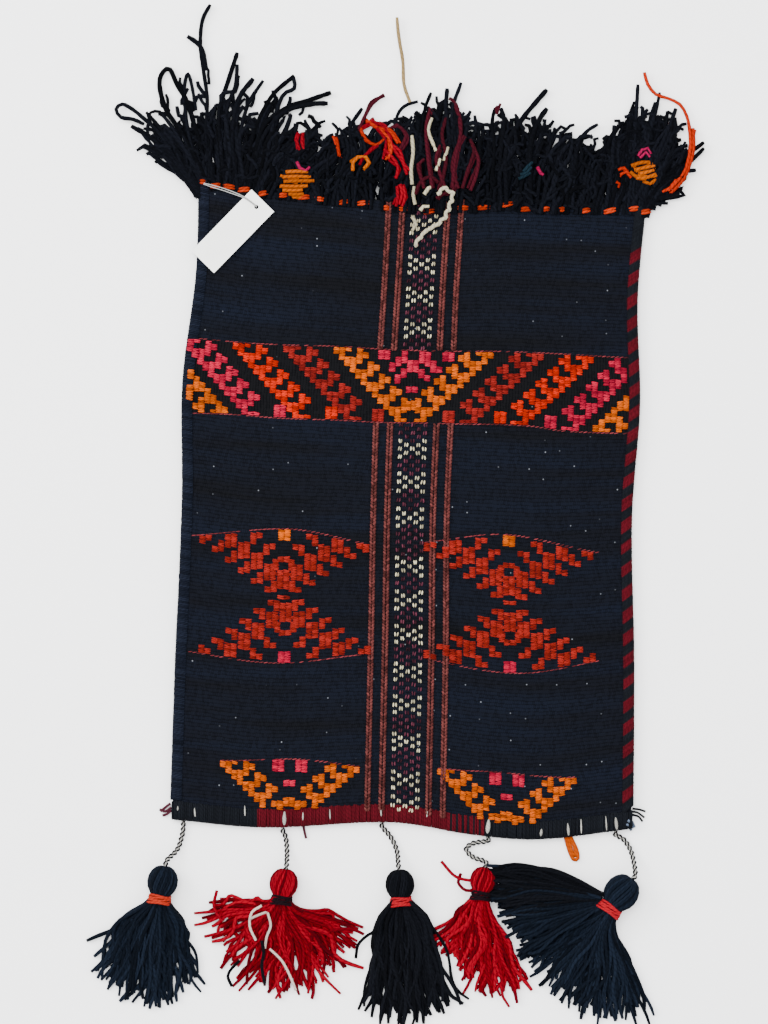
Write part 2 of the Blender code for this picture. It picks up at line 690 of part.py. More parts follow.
def tag():
    """Blank card tag resting on the upper side near the mouth; gives the height of its hole."""
    turn = math.radians(TAG_TURN)
    along, across = Vector((math.cos(turn), math.sin(turn))), Vector((-math.sin(turn), math.cos(turn)))
    centre = Vector(from_mouth(TAG_CENTRE))
    spots = []
    for p in spaced(-TAG_LENGTH / 2, TAG_LENGTH / 2, 13):
        for q in spaced(-TAG_WIDTH / 2, TAG_WIDTH / 2, 5):
            spot = centre + along * p + across * q
            spots.append((p, top_of_bag(*spot)))
    low = max(z for p, z in spots if p < -TAG_LENGTH / 3)
    high = max(z for p, z in spots if p > TAG_LENGTH / 3)
    slope = (high - low) / TAG_LENGTH
    level = max(z - slope * p for p, z in spots) + 2 * CLEAR + TAG_THICK / 2
    bpy.ops.mesh.primitive_cube_add(size=1)
    card = bpy.context.object
    card.name = card.data.name = "tag"
    card.scale = (TAG_LENGTH, TAG_WIDTH, TAG_THICK)
    bpy.ops.object.transform_apply(location=False, rotation=False, scale=True)
    hole = Vector((TAG_LENGTH / 2 - 2.1 * TAG_HOLE, 0, 0))
    bpy.ops.mesh.primitive_cylinder_add(vertices=16, radius=TAG_HOLE / 2, depth=10 * TAG_THICK, location=hole)
    punch = bpy.context.object
    punch.name = "tag_hole_cutter"
    punch.hide_render = True
    punch.display_type = "WIRE"
    cut = card.modifiers.new("hole", "BOOLEAN")
    cut.operation = "DIFFERENCE"
    cut.object = punch
    punch.parent = card
    card.rotation_euler = (0, -math.atan(slope), turn)
    card.location = (centre.x, centre.y, level)
    card.data.materials.append(material("card"))
    for piece, holder in ((card, bag), (punch, cutters)):
        for old in list(piece.users_collection):
            old.objects.unlink(piece)
        holder.objects.link(piece)
    return level + slope * hole.x


def tag_thread(hole_height):
    """Thread from inside the tag's hole, over the tag, to the mouth's left corner."""
    start = from_mouth(THREAD_ROUTE[0])
    points = [(*start, hole_height), (*start, hole_height + 2 * THREAD_WIDTH)]
    for x, y in map(from_mouth, THREAD_ROUTE[1:]):
        points.append((x, y, max(top_of_bag(x, y), hole_height) + 1.5 * THREAD_WIDTH))
    return cord("tag_thread", points, THREAD_WIDTH, "thread")


def cream_yarn():
    """Thick loose yarn that lies on the front cloth below the mouth."""
    route = [from_mouth(place) for place in CREAM_ROUTE]
    points = [(x, y, top_of_bag(x, y) + CLEAR + 0.55 * YARN_WIDTH) for x, y in route]
    return cord("cream_yarn", points, YARN_WIDTH, "cream")


for old in list(bpy.data.objects):
    bpy.data.objects.remove(old, do_unlink=True)
bag = bpy.data.collections.new("kilim_saddle_bag")
cutters = bpy.data.collections.new("cutters")
for collection in (bag, cutters):
    bpy.context.scene.collection.children.link(collection)

brocade = comb_band() + fans() + bowls() + centre_stripes() + mouth_stitches()
cloth("front_panel", front_low, front_high, "navy", brocade)
cloth("back_panel", back_low, back_high, "navy")
side_binding("side_binding_left", False)
side_binding("side_binding_right", True)
corner = CLEAR + WRAP_THICK / 2
hem_ends = (-corner, BAG_WIDTH * HEM_RED_FROM, BAG_WIDTH * HEM_RED_TO, BAG_WIDTH + corner)
hem_binding("hem_binding_left", hem_ends[0], hem_ends[1] - CLEAR, "black")
hem_binding("hem_binding_middle", hem_ends[1], hem_ends[2] - CLEAR, "binding_red")
hem_binding("hem_binding_right", hem_ends[2], hem_ends[3], "black")
for tassel in TASSELS:
    tassel_yarns(tassel)
    tassel_tie(tassel)
    tassel_cord(tassel)
for number in range(len(LOCK_LENGTHS)):
    fringe_lock(number)
back_fringe()
tag_thread(tag())
cream_yarn()
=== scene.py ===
"""Woven saddle bag pouch lying on a pale table, seen from straight above: brocaded wool front, plain
back, overcast edges, fringed mouth, five tassels on braided cords, and a blank card tag."""

import math
import random

import bpy
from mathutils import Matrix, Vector, noise


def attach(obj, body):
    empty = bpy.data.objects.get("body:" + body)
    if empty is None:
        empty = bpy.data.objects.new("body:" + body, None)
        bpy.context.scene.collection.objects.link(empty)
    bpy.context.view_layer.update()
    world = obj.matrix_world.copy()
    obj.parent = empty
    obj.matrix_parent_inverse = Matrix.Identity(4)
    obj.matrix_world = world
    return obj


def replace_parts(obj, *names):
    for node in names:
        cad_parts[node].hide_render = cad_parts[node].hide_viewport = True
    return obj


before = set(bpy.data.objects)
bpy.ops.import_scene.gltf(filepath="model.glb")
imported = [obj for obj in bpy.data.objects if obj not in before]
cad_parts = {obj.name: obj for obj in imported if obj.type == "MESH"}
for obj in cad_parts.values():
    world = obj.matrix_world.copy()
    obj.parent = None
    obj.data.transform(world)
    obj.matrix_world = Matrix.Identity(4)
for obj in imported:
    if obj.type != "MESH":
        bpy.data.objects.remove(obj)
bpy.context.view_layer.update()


# The view. The camera looks straight down, so that the long side of the image is the bag's length,
# in the even light of a softbox overhead and a second one on the left. Places that are given in the
# view count units of UNIT metres, to the right and down from its upper left corner.
UNIT = 0.0007
VIEW_MIDDLE = (384.0, 512.0)
ORIGIN_SEEN = (407.0, 510.0)
CAMERA_HEIGHT = 2.4
TRUE_SCALE_HEIGHT = 0.006
FILM_WIDTH = 36.0
SOFTBOXES = (("softbox_overhead", (-0.25, 0.45, 2.2), 1.6, 74.0), ("softbox_left", (-1.7, 0.8, 1.5), 1.2, 52.0))
ROOM_COLOUR = (0.98, 0.985, 1.0, 1.0)
ROOM_LIGHT = 2.3


def seen(x, y):
    """Place on the table of a point in the camera's view."""
    return (x - ORIGIN_SEEN[0]) * UNIT, (ORIGIN_SEEN[1] - y) * UNIT


camera_data = bpy.data.cameras.new("overhead_camera")
camera = bpy.data.objects.new("overhead_camera", camera_data)
bpy.context.scene.collection.objects.link(camera)
camera_data.sensor_width = FILM_WIDTH
camera_data.lens = FILM_WIDTH * (CAMERA_HEIGHT - TRUE_SCALE_HEIGHT) / (2 * VIEW_MIDDLE[1] * UNIT)
camera_data.clip_start, camera_data.clip_end = 0.1, 50.0
camera.location = (*seen(*VIEW_MIDDLE), CAMERA_HEIGHT)
bpy.context.scene.camera = camera

for lamp_name, place, size, power in SOFTBOXES:
    lamp_data = bpy.data.lights.new(lamp_name, "AREA")
    lamp_data.shape = "DISK"
    lamp_data.size = size
    lamp_data.energy = power
    lamp = bpy.data.objects.new(lamp_name, lamp_data)
    bpy.context.scene.collection.objects.link(lamp)
    lamp.location = place
    lamp.rotation_mode = "QUATERNION"
    lamp.rotation_quaternion = (-Vector(place)).to_track_quat("-Z", "Y")

world = bpy.data.worlds.new("pale_room")
bpy.context.scene.world = world
world.use_nodes = True
world.node_tree.nodes["Background"].inputs["Color"].default_value = ROOM_COLOUR
world.node_tree.nodes["Background"].inputs["Strength"].default_value = ROOM_LIGHT


# The braided cords of the tassels. Each is four plies of cotton, two white and two black, braided
# round and sewn into the hem at one end and into the tassel's crown at the other.
DYE_DEPTH = 0.36
WOOL_ROUGHNESS = 0.95
WOOL_SHINE = 0.03
BLOOM_ROUGHNESS = 0.5
BLACK_PLY = 0.0014
WHITE_PLY = 0.0012
PLY_SIDES = 7
BRAID_PITCH = 0.0036
BLACK_PLIES = ((-0.00078, 0.00052, 0.00085, 0.0), (0.00078, 0.00052, 0.00085, math.pi))
WHITE_PLIES = ((0.0, 0.00040, 0.0004, 0.0), (0.0, 0.00040, 0.0004, math.pi))
CORD_STEP = 0.0006
CORD_ROUTES = {
    "tassel_1": ((-0.1568, -0.2177, 0.0040), (-0.1568, -0.2207, 0.0032), (-0.1575, -0.2275, 0.0023),
                 (-0.1610, -0.2380, 0.0035), (-0.1680, -0.2451, 0.0089), (-0.1687, -0.2489, 0.0095)),
    "tassel_2": ((-0.0869, -0.2225, 0.0040), (-0.0869, -0.2255, 0.0032), (-0.0849, -0.2300, 0.0023),
                 (-0.0840, -0.2400, 0.0035), (-0.0841, -0.2471, 0.0085), (-0.0847, -0.2510, 0.0091)),
    "tassel_3": ((-0.0175, -0.2189, 0.0040), (-0.0175, -0.2219, 0.0032), (-0.0112, -0.2296, 0.0023),
                 (-0.0070, -0.2390, 0.0035), (-0.0061, -0.2476, 0.0086), (-0.0058, -0.2515, 0.0092)),
    "tassel_4": ((0.0565, -0.2289, 0.0040), (0.0565, -0.2319, 0.0032), (0.0469, -0.2335, 0.0023),
                 (0.0415, -0.2375, 0.0035), (0.0462, -0.2430, 0.0047), (0.0550, -0.2460, 0.0079),
                 (0.0545, -0.2498, 0.0085)),
    "tassel_5": ((0.1463, -0.2249, 0.0040), (0.1463, -0.2279, 0.0032), (0.1519, -0.2310, 0.0023),
                 (0.1573, -0.2400, 0.0035), (0.1597, -0.2543, 0.0098), (0.1573, -0.2574, 0.0104)),
}


def linear(red, green, blue, depth=1.0):
    """Colour for a shader from the 0 to 255 values that the eye sees, and the share of the light that it keeps."""
    return tuple(depth * (v / 255 / 12.92 if v < 10 else ((v / 255 + 0.055) / 1.055) ** 2.4)
                 for v in (red, green, blue)) + (1.0,)


def add(tree, kind, inputs=(), **settings):
    """One node with its settings, and its inputs given as values or as other nodes' outputs."""
    made = tree.nodes.new(kind)
    for key, value in settings.items():
        setattr(made, key, value)
    for key, value in dict(inputs).items():
        if isinstance(value, bpy.types.NodeSocket):
            tree.links.new(value, made.inputs[key])
        else:
            made.inputs[key].default_value = value
    return made


def reckon(tree, operation, a, b=0.0, c=0.0):
    """Output of one step of arithmetic."""
    return add(tree, "ShaderNodeMath", {0: a, 1: b, 2: c}, operation=operation).outputs[0]


def blended(tree, share, a, b):
    """Colour a share of the way from a to b."""
    return add(tree, "ShaderNodeMix", {0: share, 6: a, 7: b}, data_type="RGBA").outputs[2]


def spun_wool_group():
    """Hand-spun yarn: painted shade in the grooves between two plies that twist about each other, fibres, and lighter
    flecks that are pale fibres and a painted highlight on the highest fibres.
    """
    group = bpy.data.node_groups.new("spun_wool", "ShaderNodeTree")
    for label, kind in (("Colour", "NodeSocketColor"), ("Groove Shade", "NodeSocketColor"),
                        ("Fleck Highlight", "NodeSocketColor"), ("Twist", "NodeSocketFloat"),
                        ("Variation", "NodeSocketFloat")):
        group.interface.new_socket(label, in_out="INPUT", socket_type=kind)
    group.interface.new_socket("Colour", in_out="OUTPUT", socket_type="NodeSocketColor")
    group.interface.new_socket("Height", in_out="OUTPUT", socket_type="NodeSocketFloat")
    given = group.nodes.new("NodeGroupInput").outputs
    along = add(group, "ShaderNodeAttribute", attribute_name="along").outputs["Fac"]
    shade = add(group, "ShaderNodeAttribute", attribute_name="shade").outputs["Fac"]
    section = add(group, "ShaderNodeAttribute", attribute_name="section").outputs["Vector"]
    side = add(group, "ShaderNodeSeparateXYZ", {0: section}).outputs
    turn = reckon(group, "MULTIPLY_ADD", reckon(group, "DIVIDE", along, given["Twist"]), 2 * math.pi,
                  reckon(group, "MULTIPLY", shade, 90.0))
    double_sine = reckon(group, "MULTIPLY", reckon(group, "MULTIPLY", side[0], side[1]), 2.0)
    double_cosine = reckon(group, "SUBTRACT", reckon(group, "MULTIPLY", side[0], side[0]),
                           reckon(group, "MULTIPLY", side[1], side[1]))
    ply = reckon(group, "ADD", reckon(group, "MULTIPLY", double_sine, reckon(group, "COSINE", turn)),
                 reckon(group, "MULTIPLY", double_cosine, reckon(group, "SINE", turn)))
    ply = reckon(group, "MULTIPLY_ADD", ply, 0.5, 0.5)
    place = add(group, "ShaderNodeTexCoord").outputs["Object"]
    fibre = add(group, "ShaderNodeTexNoise", {0: place, 2: 1500.0, 3: 2.0, 4: 0.7}).outputs[0]
    patch = add(group, "ShaderNodeTexNoise", {0: place, 2: 45.0, 3: 2.0}).outputs[0]
    worn = reckon(group, "MULTIPLY_ADD", patch, 0.5, 0.75)
    bright = reckon(group, "MULTIPLY_ADD", reckon(group, "SUBTRACT", shade, 0.5), given["Variation"], worn)
    tone = add(group, "ShaderNodeHueSaturation", {2: bright, 4: given["Colour"]}).outputs[0]
    rise = reckon(group, "MULTIPLY_ADD", fibre, 0.7, reckon(group, "MULTIPLY", ply, 0.55))
    lit = add(group, "ShaderNodeMapRange", {0: rise, 1: 0.1, 2: 0.62}).outputs[0]
    # Painted shade: the groove colour where the yarn lies low, between the plies.
    tone = blended(group, lit, given["Groove Shade"], tone)
    # Painted highlight along with pale fibres: the fleck colour where the fibres stand highest.
    fibre_highlight = add(group, "ShaderNodeMapRange", {0: fibre, 1: 0.62, 2: 0.78, 4: 0.55}).outputs[0]
    tone = blended(group, fibre_highlight, tone, given["Fleck Highlight"])
    output = group.nodes.new("NodeGroupOutput")
    group.links.new(tone, output.inputs["Colour"])
    group.links.new(rise, output.inputs["Height"])
    return group


spun_wool = spun_wool_group()


def wool(name, colour, groove_shade, fleck_highlight, twist=0.0035, variation=0.5, sheen=0.02, relief=0.00035, depth=DYE_DEPTH):
    """Matt yarn of one dye lot, with its twist and a soft bloom of stray fibres. Its groove colour is painted shade
    between the plies; its fleck colour is pale fibres and a painted highlight on the highest fibres, and tints the
    sheen.
    """
    made = bpy.data.materials.new(name)
    made.use_nodes = True
    tree = made.node_tree
    shader = tree.nodes["Principled BSDF"]
    yarn = add(tree, "ShaderNodeGroup", node_tree=spun_wool)
    for label, value in (("Colour", colour), ("Groove Shade", groove_shade), ("Fleck Highlight", fleck_highlight)):
        yarn.inputs[label].default_value = linear(*value, depth)
    yarn.inputs["Twist"].default_value = twist
    yarn.inputs["Variation"].default_value = variation
    tree.links.new(yarn.outputs["Colour"], shader.inputs["Base Color"])
    bump = add(tree, "ShaderNodeBump", {0: 0.8, 1: relief, 3: yarn.outputs["Height"]})
    tree.links.new(bump.outputs[0], shader.inputs["Normal"])
    shader.inputs["Roughness"].default_value = WOOL_ROUGHNESS
    shader.inputs["Specular IOR Level"].default_value = WOOL_SHINE
    shader.inputs["Sheen Weight"].default_value = sheen
    shader.inputs["Sheen Roughness"].default_value = BLOOM_ROUGHNESS
    shader.inputs["Sheen Tint"].default_value = linear(*fleck_highlight)
    return made


def yarn_tree():
    """Node tree that sweeps a round section along every line of a wire mesh."""
    tree = bpy.data.node_groups.new("yarns_from_lines", "GeometryNodeTree")
    sockets = {}
    for label, kind in (("Lines", "NodeSocketGeometry"), ("Sides", "NodeSocketInt"),
                        ("Yarn", "NodeSocketMaterial")):
        sockets[label] = tree.interface.new_socket(label, in_out="INPUT", socket_type=kind).identifier
    tree.interface.new_socket("Yarns", in_out="OUTPUT", socket_type="NodeSocketGeometry")
    given = tree.nodes.new("NodeGroupInput").outputs
    line = add(tree, "GeometryNodeMeshToCurve", {0: given["Lines"]}).outputs[0]
    length = tree.nodes.new("GeometryNodeSplineParameter").outputs["Length"]
    line = add(tree, "GeometryNodeStoreNamedAttribute", {0: line, "Name": "along", "Value": length},
               domain="POINT", data_type="FLOAT").outputs[0]
    girth = add(tree, "GeometryNodeInputNamedAttribute", {0: "girth"}, data_type="FLOAT").outputs[0]
    ring = add(tree, "GeometryNodeCurvePrimitiveCircle", {"Resolution": given["Sides"], "Radius": 1.0}).outputs[0]
    spot = tree.nodes.new("GeometryNodeInputPosition").outputs[0]
    ring = add(tree, "GeometryNodeStoreNamedAttribute", {0: ring, "Name": "section", "Value": spot},
               domain="POINT", data_type="FLOAT_VECTOR").outputs[0]
    tube = add(tree, "GeometryNodeCurveToMesh", {0: line, 1: ring, "Scale": girth, "Fill Caps": True}).outputs[0]
    tube = add(tree, "GeometryNodeSetShadeSmooth", {0: tube}).outputs[0]
    tube = add(tree, "GeometryNodeRealizeInstances", {0: tube}).outputs[0]
    tube = add(tree, "GeometryNodeSetMaterial", {0: tube, "Material": given["Yarn"]}).outputs[0]
    tree.links.new(tube, tree.nodes.new("NodeGroupOutput").inputs[0])
    return tree, sockets


sweep, sweep_inputs = yarn_tree()


def yarns(name, lines, material, sides=6):
    """One piece of round yarns. Each line is its points, its widths at them, and its shade."""
    wire = bpy.data.meshes.new(name + "_lines")
    places, links, girths, shades = [], [], [], []
    for points, widths, shade in lines:
        first = len(places)
        places += [tuple(p) for p in points]
        links += [(first + k, first + k + 1) for k in range(len(points) - 1)]
        girths += [w / 2 for w in widths]
        shades += [shade] * len(points)
    wire.from_pydata(places, links, [])
    wire.attributes.new("girth", "FLOAT", "POINT").data.foreach_set("value", girths)
    wire.attributes.new("shade", "FLOAT", "POINT").data.foreach_set("value", shades)
    piece = bpy.data.objects.new(name, wire)
    bpy.context.scene.collection.objects.link(piece)
    made = piece.modifiers.new("yarns", "NODES")
    made.node_group = sweep
    made[sweep_inputs["Sides"]] = sides
    made[sweep_inputs["Yarn"]] = material
    graph = bpy.context.evaluated_depsgraph_get()
    swept = bpy.data.meshes.new_from_object(piece.evaluated_get(graph), depsgraph=graph)
    piece.modifiers.remove(made)
    piece.data = swept
    swept.name = name
    bpy.data.meshes.remove(wire)
    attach(piece, "root")
    return piece


def smooth(points, step):
    """Points about a step apart on the smooth curve through the given ones."""
    spots = [Vector(p) for p in points]
    spots = [2 * spots[0] - spots[1]] + spots + [2 * spots[-1] - spots[-2]]
    route = []
    for k in range(1, len(spots) - 2):
        a, b, c, d = spots[k - 1:k + 3]
        parts = max(1, int(round((c - b).length / step)))
        for i in range(parts):
            q = i / parts
            route.append(0.5 * (2 * b + (c - a) * q + (2 * a - 5 * b + 4 * c - d) * q ** 2
                                + (3 * b - a - 3 * c + d) * q ** 3))
    return route + [spots[-2]]


def braided(route, plies, wide):
    """Plies of a braid along a route. Each has its offset, its swing to the side and over, and its start."""
    span = 0.0
    paths = [[] for _ in plies]
    for k, spot in enumerate(route):
        ahead = (route[min(k + 1, len(route) - 1)] - route[max(k - 1, 0)]).normalized()
        span += (spot - route[k - 1]).length if k else 0.0
        aside = ahead.cross(Vector((0, 0, 1))).normalized()
        upward = aside.cross(ahead)
        turn = 2 * math.pi * span / BRAID_PITCH
        for path, (offset, swing, over, start) in zip(paths, plies):
            path.append(spot + aside * (offset + swing * math.sin(turn + start))
                        + upward * over * math.cos(turn + start))
    return [(path, [wide] * len(path), 0.5) for path in paths]


white_cotton = wool("white_cotton_ply", (238, 236, 228), (120, 114, 104), (252, 250, 244), 0.0028, 0.2)
black_cotton = wool("black_cotton_ply", (22, 22, 26), (5, 5, 6), (60, 60, 66), 0.0028, 0.2)
for tassel_name, corners in CORD_ROUTES.items():
    route = smooth(corners, CORD_STEP)
    black, white = braided(route, BLACK_PLIES, BLACK_PLY), braided(route, WHITE_PLIES, WHITE_PLY)
    light = yarns(tassel_name + "_cord_white", white, white_cotton, PLY_SIDES)
    cord = yarns(tassel_name + "_cord_black", black, black_cotton, PLY_SIDES)
    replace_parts(cord, tassel_name + "_cord")


# The table: a plain pale board that the bag lies on, with a matt painted face. It reaches far past
# the view on all sides, so that its edge never shows.
TABLE_SIZE = 6.0
table_mesh = bpy.data.meshes.new("table")
half = TABLE_SIZE / 2
table_mesh.from_pydata([(-half, -half, 0), (half, -half, 0), (half, half, 0), (-half, half, 0)], [], [(0, 1, 2, 3)])
table = bpy.data.objects.new("table", table_mesh)
bpy.context.scene.collection.objects.link(table)
paper = bpy.data.materials.new("pale_table")
paper.use_nodes = True
paper_shader = paper.node_tree.nodes["Principled BSDF"]
paper_shader.inputs["Base Color"].default_value = (0.97, 0.97, 0.97, 1.0)
paper_shader.inputs["Roughness"].default_value = 0.9
paper_shader.inputs["Specular IOR Level"].default_value = 0.1
table_mesh.materials.append(paper)


# The front cloth: one length of weft-faced wool, black and navy, woven tight over ribbed warps. It
# lies slack over the back cloth, and its outline leans and waves as the loom and the years left it.
BAG_LENGTH = 0.4325
BAG_WIDTH = 0.315
CENTRE = BAG_WIDTH / 2
CLOTH_THICK = 0.0024
POCKET_DEPTH = 0.0090
CLEAR = 0.0003
WRAP_THICK = 0.0012
SIDE_LEG = 0.0056
HEM_LEG = 0.0108
SIDE_FLAT = SIDE_LEG + 0.001
FOOT_FLAT = HEM_LEG + 0.001
LIFT = WRAP_THICK + CLEAR
LIFT_RUN = 0.020
LEAN = ((0, -0.0038), (0.3, -0.0012), (0.5, 0.0), (0.72, 0.0038), (1, 0.0107))
SPREAD = ((0, 0.003), (0.25, 0.0015), (0.5, -0.0016), (0.68, 0.001), (0.85, -0.0045), (1, -0.0027))
MOUTH_SAG = ((0, 0.0168), (0.14, 0.0098), (0.32, 0.0035), (0.457, -0.0014), (0.69, 0.0012), (1, -0.0035))
FOOT_SAG = ((0, 0.0014), (0.2, -0.0042), (0.48, -0.0007), (0.66, -0.0095), (0.8, -0.0125), (1, -0.0052))
COLUMN = 0.0041
ROW = 0.0021
GROUND_STITCH = 0.0015
GROUND_ROW = 0.0025
BAND_TOP_SEEN = ((190, 339), (277, 346), (377, 350.5), (454, 353), (543, 354.5), (630, 359))
BAND_BOTTOM_SEEN = ((183, 412), (234, 413.5), (286, 417.5), (369, 421), (454, 423), (528, 425), (564, 430),
                    (630, 432.5))
CLOTH_COLUMNS = 110
CLOTH_ROWS = 150
COCKLES = ((0.0011, (22, 16), 3.1), (0.0005, (60, 45), 8.4))
BAND_TIGHTER = 0.0005


def curve_value(points, x):
    """Value at x of the smooth curve through the points, level with its end points outside them."""
    if x <= points[0][0]:
        return points[0][1]
    if x >= points[-1][0]:
        return points[-1][1]
    last = len(points) - 1
    k = max(i for i in range(last) if points[i][0] <= x)
    slopes = []
    for i in (k, k + 1):
        before, after = points[max(i - 1, 0)], points[min(i + 1, last)]
        slopes.append((after[1] - before[1]) / (after[0] - before[0]))
    (x0, y0), (x1, y1) = points[k], points[k + 1]
    run = x1 - x0
    q = (x - x0) / run
    return ((2 * q ** 3 - 3 * q ** 2 + 1) * y0 + (q ** 3 - 2 * q ** 2 + q) * run * slopes[0]
            + (3 * q ** 2 - 2 * q ** 3) * y1 + (q ** 3 - q ** 2) * run * slopes[1])


def ease(q):
    """Smooth step from 0 to 1."""
    q = min(max(q, 0.0), 1.0)
    return q * q * (3 - 2 * q)


def cloth_point(s, t):
    """Place on the table of a place on the cloth, s from its left edge and t up from its foot."""
    u, v = s / BAG_WIDTH, t / BAG_LENGTH
    x = curve_value(LEAN, v) + (u - 0.5) * (BAG_WIDTH + 2 * curve_value(SPREAD, v))
    y = (v - 0.5) * BAG_LENGTH + (1 - v) * curve_value(FOOT_SAG, u) + v * curve_value(MOUTH_SAG, u)
    return x, y


def cloth_place(x, y):
    """Place on the cloth of a place on the table."""
    s, t = CENTRE + x, BAG_LENGTH / 2 + y
    for _ in range(6):
        at_x, at_y = cloth_point(s, t)
        s, t = s + x - at_x, t + y - at_y
    return s, t


def back_low(s, t):
    """Underside of the back cloth, which the bindings' lower legs lift at its edges."""
    side = 1 - ease((min(s, BAG_WIDTH - s) - SIDE_FLAT) / LIFT_RUN)
    foot = 1 - ease((t - FOOT_FLAT) / LIFT_RUN)
    return LIFT * max(side, foot)


def front_low(s, t):
    """Inside of the front cloth, which stands off the back cloth towards the middle and the mouth."""
    side = (min(s, BAG_WIDTH - s) - SIDE_FLAT) / (CENTRE - SIDE_FLAT)
    foot = (t - FOOT_FLAT) / (0.4 * BAG_LENGTH)
    across = 1 - (1 - min(max(side, 0), 1)) ** 2.2
    along = 1 - (1 - min(max(foot, 0), 1)) ** 2.4
    return back_low(s, t) + CLOTH_THICK + CLEAR + POCKET_DEPTH * across * along


def line_on_cloth(points):
    """Places on the cloth of the points of a line that is given in the camera's view."""
    return tuple(cloth_place(*seen(*point)) for point in points)


band_top = line_on_cloth(BAND_TOP_SEEN)
band_bottom = line_on_cloth(BAND_BOTTOM_SEEN)


def band_share(s, t):
    """Share of the way up the brocaded band, from 0 at its lower line to 1 at its upper one."""
    low, high = curve_value(band_bottom, s), curve_value(band_top, s)
    return (t - low) / (high - low)


def front_top(s, t):
    """Upper side of the front cloth, with its soft cockles and the tighter brocaded band."""
    inner = ease(min(s, BAG_WIDTH - s) / 0.03) * ease(t / 0.03)
    cockle = sum(high * noise.noise(Vector((s * fine[0], t * fine[1], start))) for high, fine, start in COCKLES)
    share = band_share(s, t)
    tight = -BAND_TIGHTER * ease((share + 0.12) / 0.12) * ease((1.12 - share) / 0.12)
    return front_low(s, t) + CLOTH_THICK + inner * (cockle + tight)


def cloth_sheet(name, low, high, columns, rows, material):
    """Closed sheet of cloth between two heights over the whole of the cloth, with its places as UVs."""
    places, spots = [], []
    for height in (high, low):
        for j in range(rows + 1):
            for i in range(columns + 1):
                s, t = BAG_WIDTH * i / columns, BAG_LENGTH * j / rows
                places.append((*cloth_point(s, t), height(s, t)))
                spots.append((s, t))
    wide, level = columns + 1, (columns + 1) * (rows + 1)
    faces = []
    for j in range(rows):
        for i in range(columns):
            a = j * wide + i
            faces.append((a, a + 1, a + wide + 1, a + wide))
            faces.append((level + a, level + a + wide, level + a + wide + 1, level + a + 1))
    rim = ([i for i in range(columns)] + [j * wide + columns for j in range(rows)]
           + [rows * wide + i for i in range(columns, 0, -1)] + [j * wide for j in range(rows, 0, -1)])
    for a, b in zip(rim, rim[1:] + rim[:1]):
        faces.append((b, a, level + a, level + b))
    mesh = bpy.data.meshes.new(name)
    mesh.from_pydata(places, [], faces)
    mesh.polygons.foreach_set("use_smooth", [True] * len(mesh.polygons))
    layer = mesh.uv_layers.new(name="weave")
    for loop in mesh.loops:
        layer.data[loop.index].uv = spots[loop.vertex_index]
    mesh.attributes.new("band", "FLOAT", "POINT").data.foreach_set("value", [band_share(s, t) for s, t in spots])
    mesh.materials.append(material)
    piece = bpy.data.objects.new(name, mesh)
    bpy.context.scene.collection.objects.link(piece)
    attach(piece, "root")
    return piece


